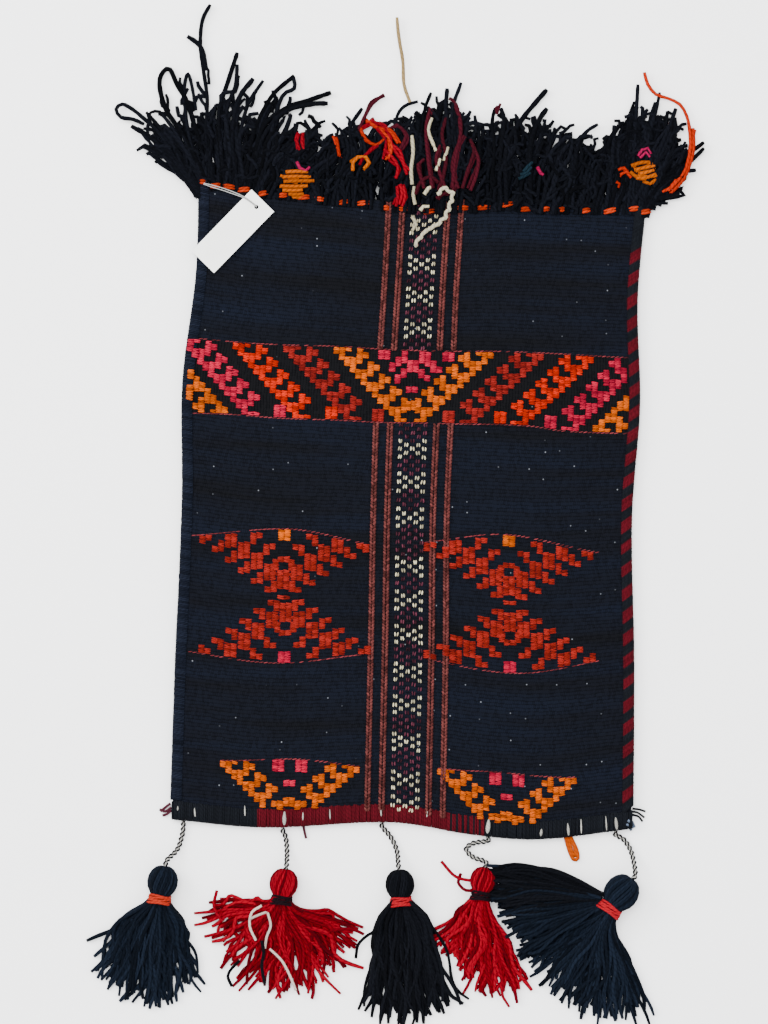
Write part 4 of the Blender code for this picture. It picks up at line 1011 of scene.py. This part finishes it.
# The tassels: a hank of soft wool folded over the cord's end, bound round its neck with a few turns
# of yarn, and cut at the foot, so that the yarns fan out over the table.
TIE_YARN = 0.0028
TIE_STRAND = 0.0017
TIE_TURNS = 4.6
TIE_STEPS = 18
NECK_SHARE = 0.56
SKIRT_DEPTH = 0.0092
SKIRT_STEPS = 14
HEAD_LAYERS = ((0.90, 34, 0.0022), (0.62, 16, 0.0034), (0.30, 7, 0.0044))
HEAD_SHARES = (-0.93, -0.8, -0.55, -0.25, 0.1, 0.4, 0.7, 0.95, 1.15)
HANK_SIDES = 5
# Each tassel: bell says how far down its skirt opens and unruly how wild its yarns lie. Its heading and
# spread are in degrees, and reach gives the yarns' lengths from one side of the fan to the other.
TASSELS = (
    dict(name="tassel_1", bell=0.55, unruly=1.3, head=(-0.1708, -0.2597), size=0.0109,
         heading=260, spread=29, count=140,
         wool="navy", tie="orange", slots=("tassel_navy", "tie_orange"), reach=(0.068, 0.076, 0.081, 0.076, 0.062)),
    dict(name="tassel_2", bell=0.8, unruly=1.7, head=(-0.0861, -0.2611), size=0.0101,
         heading=262, spread=72, count=165,
         wool="red", tie="dark", slots=("tassel_red", "tie_dark"), reach=(0.047, 0.060, 0.073, 0.071, 0.052)),
    dict(name="tassel_3", bell=0.32, unruly=1.3, head=(-0.0049, -0.2618), size=0.0103,
         heading=273, spread=17, count=140,
         wool="black", tie="red", slots=("tassel_black", "tie_red"), reach=(0.078, 0.086, 0.090, 0.088, 0.080)),
    dict(name="tassel_4", bell=0.75, unruly=1.7, head=(0.0532, -0.2590), size=0.0091,
         heading=262, spread=27, count=110,
         wool="red", tie="dark", slots=("tassel_red", "tie_dark"), reach=(0.042, 0.052, 0.064, 0.075, 0.079)),
    dict(name="tassel_5", bell=0.9, unruly=1.4, head=(0.1498, -0.2674), size=0.0125,
         heading=233, spread=50, count=200,
         wool="navy", tie="red", slots=("tassel_navy", "tie_red"), reach=(0.072, 0.070, 0.075, 0.079, 0.077)),
)
# Yarns that lie apart from their tassel's hank, with their routes in the view.
STRAY_YARNS = (
    ("tassel_5", "navy", ((600, 896), (566, 880), (540, 874), (522, 868), (512, 875), (500, 874))),
    ("tassel_5", "navy", ((600, 897), (570, 886), (535, 872), (505, 866), (487, 865))),
    ("tassel_5", "navy", ((598, 901), (556, 893), (516, 887), (492, 894), (478, 894), (470, 890))),
    ("tassel_4", "red", ((480, 880), (470, 880), (455, 876), (441, 861))),
    ("tassel_4", "red", ((478, 888), (466, 890), (458, 882), (461, 873))),
    ("tassel_2", "cream", ((262, 905), (252, 912), (250, 926), (256, 940))),
    ("tassel_2", "cream", ((268, 912), (271, 925), (267, 936), (265, 948))),
    ("tassel_2", "cream", ((270, 948), (282, 960), (290, 975), (296, 990))),
    ("tassel_2", "cream", ((250, 918), (262, 913), (276, 909))),
    ("tassel_2", "black", ((262, 940), (264, 952), (262, 966), (265, 984))),
    ("tassel_2", "black", ((240, 960), (232, 968), (228, 976), (232, 986))),
    ("tassel_2", "red", ((330, 930), (345, 928), (356, 930), (364, 934))),
    ("tassel_2", "red", ((222, 920), (214, 906), (217, 890))),
    ("tassel_3", "black", ((376, 930), (366, 936), (358, 945), (356, 958))),
    ("tassel_5", "cream", ((635, 884), (638, 888), (634, 894), (630, 898))),
    ("tassel_5", "cream", ((602, 913), (608, 915), (606, 920))),
)
STRAY_TOP = 0.0105
STRAY_WIDTHS = {"navy": 0.0024, "red": 0.0024, "black": 0.0024, "cream": 0.0019}
SWEEP_COUNT = 72
SWEEP_ROOT = (603, 893)
SWEEP_HEIGHTS = ((0, 0.0100), (0.3, 0.0122), (0.6, 0.0118), (0.85, 0.0108), (1, 0.0098))
# Where the swept yarns end in the view, at shares of the way across the sweep.
SWEEP_ENDS = ((0, 492, 866), (0.16, 480, 874), (0.32, 474, 886), (0.45, 488, 898), (0.6, 500, 914), (0.8, 508, 934),
              (1, 522, 960))
# Each wool's second colour is the painted shade in its grooves, and its third is pale flecks with a painted highlight.
TASSEL_WOOLS = {
    "navy": wool("tassel_navy_wool", (22, 30, 43), (6, 8, 13), (60, 72, 94), 0.0042, 1.2, 0.015),
    "red": wool("tassel_red_wool", (150, 0, 27), (42, 0, 8), (196, 34, 58), 0.0042, 1.3, 0.006),
    "black": wool("tassel_black_wool", (17, 19, 25), (4, 4, 7), (46, 50, 62), 0.0042, 1.0, 0.006),
    "cream": wool("tassel_cream_wool", (255, 236, 220), (190, 140, 140), (255, 250, 240)),
}
TIE_WOOLS = {
    "orange": wool("tie_orange_wool", (214, 58, 34), (110, 18, 14), (250, 130, 100), 0.0030, 0.6),
    "dark": wool("tie_dark_wool", (30, 18, 24), (8, 5, 8), (70, 48, 56), 0.0030, 0.6),
    "red": wool("tie_red_wool", (206, 30, 44), (110, 8, 18), (246, 100, 110), 0.0030, 0.6),
}


def tassel_place(tassel, along, across):
    """Place on the table, measured from the head's middle along and across the tassel's heading."""
    heading = math.radians(tassel["heading"])
    x, y = tassel["head"]
    return (x + along * math.cos(heading) - across * math.sin(heading),
            y + along * math.sin(heading) + across * math.cos(heading))


def neck_size(tassel):
    """Radius of the tassel's neck, and the height of its middle over the table."""
    neck = NECK_SHARE * tassel["size"]
    return neck, neck + TIE_YARN + 2 * CLEAR


def skirt_yarns(tassel):
    """Lines of the skirt's yarns, from inside the neck's binding to their cut ends on the table."""
    size, spread = tassel["size"], math.radians(tassel["spread"])
    neck, middle = neck_size(tassel)
    reach = list(zip((-1, -0.5, 0, 0.5, 1), tassel["reach"]))
    bell, unruly = tassel["bell"], tassel["unruly"]
    lines = []
    for k in range(tassel["count"]):
        side = max(-1.0, min(1.0, random.uniform(-1.04, 1.04)))
        layer = random.random()
        length = curve_value(reach, side) * random.triangular(0.62, 1.04, 0.97)
        swing = side * spread + random.triangular(-0.12, 0.12, 0.0)
        wave, phase, pace = unruly * random.uniform(0.0008, 0.0030), random.uniform(0, 6.28), random.uniform(5, 11)
        curl = random.gauss(0, 0.005 * unruly)
        wide = random.uniform(0.0021, 0.0031)
        points = []
        for i in range(SKIRT_STEPS + 1):
            q = i / SKIRT_STEPS
            turned = swing * ease(0.25 + q / bell)
            along = size * 0.9 + length * q * math.cos(turned)
            across = neck * side * 0.75 * (1 - 0.3 * q) + length * q ** bell * math.sin(turned)
            across += wave * ease(1.6 * q) * math.sin(phase + pace * q) + curl * q ** 3
            along += 0.5 * wave * ease(1.6 * q) * math.cos(1.7 * phase + pace * q)
            start = middle + neck * 0.75 * (2 * layer - 1)
            rest = 0.5 * wide + ((SKIRT_DEPTH - wide) * (0.12 + 0.88 * layer) * (1 - 0.62 * q ** 2)
                                 * (1 - 0.25 * side * side))
            z = start + (rest - start) * ease(q / 0.4)
            points.append((*tassel_place(tassel, along, across), max(z, 0.5 * wide)))
        widths = [wide * random.uniform(0.9, 1.1) * (0.8 if i in (0, SKIRT_STEPS) else 1.0)
                  for i in range(SKIRT_STEPS + 1)]
        lines.append((points, widths, random.random()))
    return lines


def swept_yarns(half_sweep):
    """Lines of the fifth tassel's yarns that were swept aside and lie over the fourth tassel."""
    across = [(share, x) for share, x, _ in SWEEP_ENDS]
    down = [(share, y) for share, _, y in SWEEP_ENDS]
    lines = []
    for k in range(SWEEP_COUNT):
        share = min(1.0, 0.32 * half_sweep + 0.68 * (k + random.random()) / SWEEP_COUNT)
        reach = random.triangular(0.6, 1.05, 0.95)
        end_x, end_y = curve_value(across, share), curve_value(down, share)
        root_x, root_y = SWEEP_ROOT[0] - 4 * share, SWEEP_ROOT[1] + 12 * share
        bow = 9 - 7 * share + random.gauss(0, 2.6)
        wide = random.uniform(0.0020, 0.0029)
        layer = random.uniform(0.0, 0.0022)
        corners = []
        for q, high in SWEEP_HEIGHTS:
            q *= reach
            x = root_x + (end_x - root_x) * q + random.gauss(0, 2.0) * q
            y = root_y + (end_y - root_y) * q - bow * math.sin(math.pi * min(q, 1)) + random.gauss(0, 3.2) * q
            corners.append((*seen(x, y), high + layer - 0.0035 * share * q))
        line = smooth(corners, 0.005)
        lines.append((line, [wide] * len(line), 0.7 * random.random()))
    return lines


def head_yarns(tassel):
    """Lines of the yarns that run over the head from the crown down into the neck."""
    size = tassel["size"]
    middle = neck_size(tassel)[1]
    lines = []
    for layer, count, wide in HEAD_LAYERS:
        for k in range(count):
            a = 2 * math.pi * (k + random.uniform(-0.2, 0.2)) / count
            points = []
            for share in HEAD_SHARES:
                round_out = math.sqrt(max(0.0, 1 - min(share, 0.84) ** 2))
                full = layer * max(size * round_out, 0.0)
                deep = min(full, middle - 0.55 * wide)
                turn = a + 0.25 * share
                points.append((*tassel_place(tassel, share * size, full * math.cos(turn)),
                               middle + deep * math.sin(turn)))
            lines.append((points, [wide * 0.7] + [wide] * 7 + [wide * 0.8], random.random()))
    return lines


def tie_turns(tassel):
    """Line of the binding yarn, some turns round the neck."""
    neck, middle = neck_size(tassel)
    points = []
    for k in range(int(TIE_TURNS * TIE_STEPS) + 1):
        a = 2 * math.pi * k / TIE_STEPS
        share = k / (TIE_TURNS * TIE_STEPS)
        along = tassel["size"] + CLEAR + TIE_YARN * (-0.6 + 2.0 * share) + 0.0005 * math.sin(2.3 * a)
        around = neck + TIE_YARN * (0.4 + 0.35 * share * share)
        points.append((*tassel_place(tassel, along, around * math.cos(a)),
                       max(middle + around * math.sin(a), 0.0008)))
    return [(points, [TIE_STRAND] * len(points), 0.6)]


random.seed(53)
for tassel in TASSELS:
    hank = yarns(tassel["name"] + "_wool", head_yarns(tassel) + skirt_yarns(tassel),
                 TASSEL_WOOLS[tassel["wool"]], HANK_SIDES)
    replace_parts(hank, tassel["name"] + "_yarns")
    for dyed in ("navy", "red", "black", "cream"):
        loose = []
        for owner, colour, corners in STRAY_YARNS:
            if owner == tassel["name"] and colour == dyed:
                top = STRAY_TOP if dyed != "navy" else random.uniform(0.011, 0.014)
                line = smooth([(*seen(x, y), top * (1 - 0.35 * k / len(corners)))
                               for k, (x, y) in enumerate(corners)], 0.003)
                loose.append((line, [STRAY_WIDTHS[dyed]] * len(line), random.random()))
        if loose:
            yarns(f"{tassel['name']}_stray_{dyed}", loose, TASSEL_WOOLS[dyed], HANK_SIDES)
    if tassel["name"] == "tassel_5":
        for dyed, first in (("black", 0), ("navy", 1)):
            yarns(f"tassel_5_swept_{dyed}", swept_yarns(first), TASSEL_WOOLS[dyed], HANK_SIDES)
    bound = yarns(tassel["name"] + "_binding", tie_turns(tassel), TIE_WOOLS[tassel["tie"]])
    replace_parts(bound, tassel["name"] + "_tie")


# The fringe: the black warps of the front cloth, cut or looped above the mouth and tangled with use.
# They fan out to the left and the right, over the shorter fringe of the back cloth.
# Roots and tips of the fringe in the view, from the left corner of the mouth to the right one.
GUIDES = ((198, 192, 131, 126), (200, 190, 146, 112), (205, 188, 166, 84), (215, 186, 187, 76), (222, 186, 212, 62),
          (232, 187, 237, 66), (243, 188, 262, 86), (252, 190, 294, 84), (258, 192, 326, 104), (270, 194, 318, 122),
          (285, 196, 312, 138), (300, 198, 310, 128), (315, 200, 333, 132), (335, 202, 350, 116), (352, 203, 362, 122),
          (372, 205, 380, 112), (392, 208, 402, 112), (408, 209, 416, 106), (424, 210, 432, 98), (440, 210, 447, 92),
          (455, 209, 462, 100), (470, 209, 478, 118), (485, 208, 497, 112), (500, 207, 519, 112), (515, 208, 542, 114),
          (530, 209, 558, 120), (548, 210, 576, 128), (565, 210, 590, 138), (580, 210, 600, 150), (595, 210, 612, 140),
          (608, 210, 626, 122), (620, 210, 640, 96), (630, 210, 654, 98), (637, 210, 668, 108), (641, 210, 682, 122),
          (643, 211, 690, 146), (644, 212, 680, 174), (645, 213, 658, 196))
# Routes in the view of the ends that stand out from the rest.
LONG_ENDS = (
    ((214, 188), (206, 140), (207, 100), (203, 70), (200, 45), (202, 20), (210, 4)),
    ((206, 70), (202, 50), (196, 42), (187, 36)),
    ((226, 190), (220, 140), (219, 110), (228, 80), (237, 52)),
    ((232, 190), (226, 140), (227, 108), (235, 86), (237, 64)),
    ((212, 190), (186, 140), (166, 110), (159, 84), (163, 71), (170, 69), (177, 84), (188, 104), (202, 150)),
    ((206, 190), (190, 140), (184, 100), (185, 80), (188, 73), (192, 86), (196, 110)),
    ((238, 190), (232, 140), (238, 100), (253, 78)),
    ((244, 190), (240, 140), (248, 104), (263, 80)),
    ((246, 190), (252, 140), (270, 98), (294, 75)),
    ((250, 190), (262, 130), (286, 108), (308, 100), (331, 92)),
    ((248, 190), (262, 140), (284, 112), (310, 104), (328, 103)),
    ((262, 192), (272, 130), (282, 96), (294, 88), (293, 76)),
    ((200, 196), (176, 160), (160, 134), (143, 118), (132, 109), (122, 104), (116, 109), (121, 117), (133, 119),
     (144, 124)),
    ((198, 198), (176, 168), (156, 142), (131, 126)),
    ((203, 192), (176, 148), (160, 128), (146, 112)),
    ((206, 190), (180, 140), (168, 122), (160, 112)),
    ((353, 200), (352, 150), (350, 128), (362, 108)),
    ((400, 200), (398, 150), (396, 120), (404, 106), (418, 101)),
    ((418, 206), (420, 150), (424, 112), (431, 92)),
    ((452, 206), (450, 150), (446, 108), (447, 88)),
    ((456, 206), (456, 150), (452, 112), (461, 82)),
    ((490, 206), (494, 150), (492, 122), (495, 108)),
    ((498, 206), (500, 160), (504, 124), (501, 108)),
    ((506, 206), (506, 150), (520, 122), (534, 104), (547, 89)),
    ((530, 206), (530, 150), (538, 122), (547, 108)),
    ((572, 208), (576, 150), (586, 132), (598, 124)),
    ((606, 208), (612, 160), (614, 134), (614, 125)),
    ((628, 208), (634, 150), (636, 118), (638, 84)),
    ((634, 208), (642, 150), (654, 118), (660, 92)),
    ((640, 208), (656, 160), (668, 130), (676, 108)),
    ((644, 210), (668, 176), (686, 156), (704, 142)),
    ((645, 210), (668, 186), (684, 168), (704, 148)),
    ((646, 212), (672, 182), (684, 172), (696, 170)),
)
FRINGE_COUNT = 560
MAT_COUNT = 760
MAT_STEP = 4.6
BACK_FRINGE_COUNT = 130
BACK_FRINGE_STEPS = 7
PILE_THIN = 0.0030
PILE_RUN = 0.075
LEFT_TANGLE_TO = 268
FRINGE_SIDES = 5


def pile(x, y):
    """Height of the fringe's pile over a place on the table: thick at the mouth, thin at the tips."""
    s, t = cloth_place(x, y)
    s = min(max(s, 0), BAG_WIDTH)
    beyond = max(0.0, t - BAG_LENGTH)
    start = front_low(s, BAG_LENGTH) + 0.5 * CLOTH_THICK
    return PILE_THIN + (start - PILE_THIN) * (1 - ease(beyond / PILE_RUN))


def strand(points, wide, layer, step=0.0055):
    """Line of one fringe yarn through places on the table, lying in a layer of the pile."""
    flat = smooth([(x, y, 0.0) for x, y in points], step)
    line = [(spot.x, spot.y, max(pile(spot.x, spot.y) * layer, 0.55 * wide)) for spot in flat]
    widths = [wide * random.uniform(0.92, 1.08) for _ in line]
    widths[-1] *= 0.8
    return line, widths, random.random()


def guide(along):
    """Root and tip of the fringe at a share of the way along the mouth."""
    g = (len(GUIDES) - 1.001) * along
    k, q = int(g), g % 1
    return [a + (b - a) * q for a, b in zip(GUIDES[k], GUIDES[k + 1])]


random.seed(61)
front_fringe = []
for _ in range(FRINGE_COUNT):
    root_x, root_y, tip_x, tip_y = guide(random.random())
    share = random.triangular(0.35, 0.85, 0.62) if root_x < LEFT_TANGLE_TO else random.triangular(0.45, 1.0, 0.92)
    root_x += random.uniform(-4, 4)
    tip_x, tip_y = root_x + (tip_x - root_x) * share, root_y + (tip_y - root_y) * share
    bend, swirl, curl = random.gauss(0, 6) * share, random.gauss(0, 6), random.gauss(0, 7)
    points = [seen(root_x, root_y + 5), seen(root_x + 0.1 * (tip_x - root_x), root_y - 4),
              seen(root_x + (tip_x - root_x) * 0.36 + bend, root_y + (tip_y - root_y) * 0.42),
              seen(root_x + (tip_x - root_x) * 0.68 - 0.4 * bend + swirl, root_y + (tip_y - root_y) * 0.72),
              seen(tip_x + 0.6 * swirl + curl * 0.5, tip_y + 2),
              seen(tip_x + 0.3 * swirl + curl, tip_y + abs(curl) * 0.4)]
    front_fringe.append(strand(points, random.uniform(0.0026, 0.0037), random.uniform(0.55, 1.25)))
for _ in range(MAT_COUNT):
    along = random.random()
    root_x, root_y, tip_x, tip_y = guide(along)
    up = 0.86 * random.random() ** 1.1
    x, y = root_x + (tip_x - root_x) * up, root_y - 1 + (tip_y - root_y) * up
    turn = math.atan2(root_y - tip_y, tip_x - root_x) + random.gauss(0, 0.75 * ease(min(along, 1 - along) / 0.2) + 0.1)
    points = []
    for _ in range(5):
        points.append(seen(x, y))
        x, y = x + MAT_STEP * math.cos(turn), y - MAT_STEP * math.sin(turn)
        turn += random.gauss(0, 0.55)
    front_fringe.append(strand(points, random.uniform(0.0023, 0.0034), random.uniform(0.8, 1.36), 0.0040))
for ends in LONG_ENDS:
    front_fringe.append(strand([seen(x, y) for x, y in ends], random.uniform(0.0026, 0.0040), 1.2, 0.003))
fringe_wool = wool("fringe_wool", (15, 17, 24), (3, 3, 5), (46, 50, 62), 0.0042, 1.2, 0.008)
mouth_fringe = yarns("mouth_fringe", front_fringe, fringe_wool, FRINGE_SIDES)
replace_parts(mouth_fringe, *[f"fringe_lock_{k:02d}" for k in range(1, 13)])

back_ends = []
for number in range(BACK_FRINGE_COUNT):
    s = SIDE_FLAT + (BAG_WIDTH - 2 * SIDE_FLAT) * (number + random.random()) / BACK_FRINGE_COUNT
    tall = random.uniform(0.018, 0.040)
    lean = random.uniform(-0.25, 0.25)
    wide = random.uniform(0.0016, 0.0021)
    points = []
    for k in range(BACK_FRINGE_STEPS + 1):
        q = k / BACK_FRINGE_STEPS
        x, y = cloth_point(s, BAG_LENGTH - 0.003 + tall * q)
        points.append((x + lean * tall * q + 0.0014 * math.sin(number + 5 * q), y,
                       0.0012 + 0.5 * wide * (1 - q) + 0.0009 * (number % 3)))
    back_ends.append((points, [wide] * len(points), random.random()))
back_fringe = yarns("back_cloth_fringe", back_ends, fringe_wool, FRINGE_SIDES)
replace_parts(back_fringe, "back_fringe")


# The coloured ends: brocade wools and cream warps of the stripes that end in the fringe, with one
# long orange yarn at the right and a length of undyed string at the middle.
COLOURED_ENDS = {
    "red": (((362, 128), (374, 122), (384, 128), (392, 140)),
            ((372, 118), (380, 132), (386, 142), (384, 158)), ((388, 134), (394, 150), (402, 162), (407, 176)),
            ((378, 146), (370, 152), (362, 160), (360, 166)), ((299, 134), (297, 142), (300, 151)),
            ((303, 133), (302, 143), (304, 150)), ((384, 150), (392, 158), (398, 168), (396, 180)),
            ((400, 186), (402, 196), (399, 206)), ((403, 188), (405, 198), (402, 208)),
            ((397, 188), (398, 198), (396, 208)), ((392, 146), (400, 152), (404, 166), (410, 172))),
    "orange": (((360, 128), (366, 140), (376, 146), (384, 140)), ((366, 120), (378, 128), (390, 132), (398, 144)),
               ((336, 138), (338, 147), (339, 157)), ((380, 130), (388, 138), (392, 148), (388, 160)),
               ((618, 170), (624, 168), (629, 174)), ((620, 175), (626, 172), (631, 178)),
               ((616, 182), (619, 184), (618, 188)),
               ((644.5, 72), (648, 84), (656, 94), (668, 98), (680, 104), (687, 116), (690, 132), (690, 150),
                (686, 168), (680, 178), (668, 191)),
               ((693, 128), (694, 146), (690, 164), (683, 180), (671, 193)), ((676, 180), (670, 188), (662, 192))),
    "yellow": (((286, 173), (297, 172.5), (307, 173)), ((283, 178), (296, 177.5), (309, 178)),
               ((284, 182.5), (297, 182), (313, 182)), ((281, 187), (295, 187.5), (308, 187)),
               ((283, 191), (294, 191.5), (303, 191)), ((289, 195), (296, 195.5), (304, 195)),
               ((353, 172), (353, 164), (358, 158), (366, 158), (369, 164), (364, 170)),
               ((631, 166), (640, 163), (650, 162)), ((634, 170), (644, 168), (655, 166)),
               ((640, 174), (648, 172), (654, 170)), ((636, 178), (646, 178), (656, 174)),
               ((644, 182), (650, 184), (655, 180)), ((630, 172), (638, 178), (646, 180))),
    "pink": (((297, 163), (300, 169), (306, 172), (310, 168)), ((638, 156), (642, 150), (648, 148), (651, 154)),
             ((640, 158), (646, 152), (650, 157)), ((537, 168), (540, 174), (543, 176))),
    "maroon": (((359, 130), (364, 118), (372, 104), (384, 94)), ((432, 190), (428, 160), (426, 130), (430, 108)),
               ((452, 190), (455, 160), (461, 130), (456, 104), (449, 98)),
               ((440, 192), (446, 160), (442, 136), (446, 118)), ((462, 190), (468, 170), (474, 152), (470, 140)),
               ((424, 190), (420, 176), (418, 166), (424, 160)), ((400, 150), (406, 136), (398, 126), (392, 128)),
               ((458, 190), (452, 170), (456, 150), (464, 136)), ((436, 200), (442, 196), (452, 192), (457, 184)),
               ((470, 192), (476, 176), (478, 160), (472, 146)), ((446, 192), (440, 176), (436, 160), (440, 146)),
               ((497, 112), (496, 108), (498, 106)), ((415, 196), (420, 184), (430, 178), (438, 184))),
    "cream": (((412, 186), (411, 170), (413, 154), (412, 136)), ((436, 152), (432, 142), (428, 130), (432, 118)),
              ((415, 206), (413, 196), (414, 188)), ((424, 196), (428, 190), (432, 188)),
              ((444, 162), (446, 154), (448, 148)), ((420, 212), (423, 208), (429, 208)),
              ((412, 218), (416, 226), (412, 232)), ((436, 172), (438, 166), (440, 160))),
    "string": (((410, 102), (404, 84), (403, 62), (400, 44), (398, 30), (397, 17)),),
    "teal": (((523, 173), (527, 168), (532, 163)), ((520, 176), (526, 174), (531, 168)),
             ((518, 180), (523, 178), (530, 174))),
}
END_WIDTHS = {"red": 0.0024, "orange": 0.0024, "yellow": 0.0028, "pink": 0.0024, "maroon": 0.0026, "cream": 0.0026,
              "string": 0.0024, "teal": 0.0024}
TWINNED = ("red", "maroon", "yellow", "orange")
LONG_ROUTE = 8
ENDS_LAYER = 1.42
TWIN_LAYER = 1.3
ENDS_STEP = 0.004
# Each end's wool: its colour, the painted shade in its grooves, and its flecks of pale fibre and painted highlight.
END_WOOLS = {
    "red": ((158, 7, 30), (60, 2, 10), (206, 48, 56)), "orange": ((202, 46, 8), (86, 14, 4), (228, 80, 30)),
    "yellow": ((206, 98, 4), (90, 36, 2), (234, 132, 30)), "pink": ((186, 22, 84), (80, 6, 34), (220, 70, 120)),
    "maroon": ((78, 18, 32), (26, 5, 12), (124, 54, 66)), "cream": ((228, 218, 182), (130, 118, 86), (250, 244, 220)),
    "string": ((202, 170, 118), (120, 92, 54), (232, 206, 160)), "teal": ((26, 48, 60), (8, 18, 24), (60, 90, 100)),
}

random.seed(71)
for colour, routes in COLOURED_ENDS.items():
    lines = []
    wide = END_WIDTHS[colour]
    for route in routes:
        places = [seen(x, y) for x, y in route]
        lines.append(strand(places, wide, ENDS_LAYER, ENDS_STEP))
        if colour in TWINNED and len(route) < LONG_ROUTE:
            shifted = [(x + random.uniform(-0.002, 0.002), y + random.uniform(-0.002, 0.002)) for x, y in places]
            lines.append(strand(shifted, wide * 0.9, TWIN_LAYER, ENDS_STEP))
    yarns("ends_" + colour, lines, wool("ends_" + colour + "_wool", *END_WOOLS[colour]), 6)


# The loose cream yarn: one thick crimped end of the wool of the crosses. It was pulled out of the weave
# with use, hooks over in the fringe and lies slack on the cloth below the mouth.
YARN_WIDTH = 0.0030
CREAM_ROUTE = [(*seen(x, y), z) for x, y, z in ((437, 197, 0.0196), (443, 190.5, 0.0198), (452, 195.5, 0.0198),
                                                (449, 208, 0.0192), (444, 219, 0.0176), (436, 226, 0.0168),
                                                (425, 233, 0.0168), (414, 247, 0.0168))]
cream_line = smooth(CREAM_ROUTE, 0.0012)
crimped = []
for k, spot in enumerate(cream_line):
    crimped.append(spot + Vector((0.0007 * math.sin(k * 1.3), 0.0006 * math.cos(k * 1.1), 0.0002 * math.sin(k * 2.3))))
cream_wool = wool("cream_crimped_wool", (232, 224, 192), (150, 136, 100), (252, 248, 226), 0.0034, 0.3)
cream_widths = [YARN_WIDTH * (0.92 + 0.1 * math.sin(k * 1.3)) for k in range(len(crimped))]
cream = yarns("loose_cream_yarn", [(crimped, cream_widths, 0.6)], cream_wool, 8)
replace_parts(cream, "cream_yarn")


# The tag's thread: one white cotton thread, doubled. It comes up through the punched hole, runs over
# the card's end and is knotted into the weave at the mouth's left corner.
THREAD_PLY = 0.00062
THREAD_ROUTE = ((-0.1052, 0.2119, 0.0114), (-0.1052, 0.2119, 0.0136), (-0.1075, 0.2138, 0.0135),
                (-0.1105, 0.2161, 0.0131), (-0.1131, 0.2178, 0.0130), (-0.1166, 0.2195, 0.0131),
                (-0.1224, 0.2217, 0.0131), (-0.1290, 0.2240, 0.0131), (-0.1355, 0.2259, 0.0131),
                (-0.1420, 0.2278, 0.0131))
thread_line = smooth(THREAD_ROUTE, 0.0008)
doubled = []
for side in (-1, 1):
    path = []
    for k, spot in enumerate(thread_line):
        part = 0.00028 + 0.0004 * ease((k - 12) / 20) * ease((len(thread_line) - k) / 10)
        path.append(spot + Vector((0.35 * side * part, side * part, 0.00008 * side)))
    doubled.append((path, [THREAD_PLY] * len(path), 0.6))
thread_cotton = wool("thread_cotton", (236, 236, 234), (150, 150, 150), (255, 255, 255), 0.0016, 0.2)
thread = yarns("doubled_thread", doubled, thread_cotton, 6)
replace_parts(thread, "tag_thread")


# The card tag: a blank strip of uncoated white board, cut square with one punched hole. Its solid is
# shown as it is, in a board material with fine fibres and faint clouds of handling.
card = bpy.data.materials.new("tag_card")
card.use_nodes = True
card_tree = card.node_tree
card_shader = card_tree.nodes["Principled BSDF"]
card_place = add(card_tree, "ShaderNodeTexCoord").outputs["Object"]
card_fibre = add(card_tree, "ShaderNodeTexNoise", {0: card_place, 2: 2600.0, 3: 4.0, 4: 0.7}).outputs[0]
card_cloud = add(card_tree, "ShaderNodeTexNoise", {0: card_place, 2: 60.0, 3: 3.0}).outputs[0]
card_tone = blended(card_tree, card_cloud, linear(238, 238, 235), linear(226, 226, 222))
card_speck = add(card_tree, "ShaderNodeMapRange", {0: card_fibre, 1: 0.6, 2: 0.8, 4: 0.5}).outputs[0]
card_tone = blended(card_tree, card_speck, card_tone, linear(206, 204, 198))
card_tree.links.new(card_tone, card_shader.inputs["Base Color"])
card_bump = add(card_tree, "ShaderNodeBump", {0: 0.3, 1: 0.00008, 3: card_fibre})
card_tree.links.new(card_bump.outputs[0], card_shader.inputs["Normal"])
card_shader.inputs["Roughness"].default_value = 0.62
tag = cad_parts["tag"]
tag.data.materials.clear()
tag.data.materials.append(card)
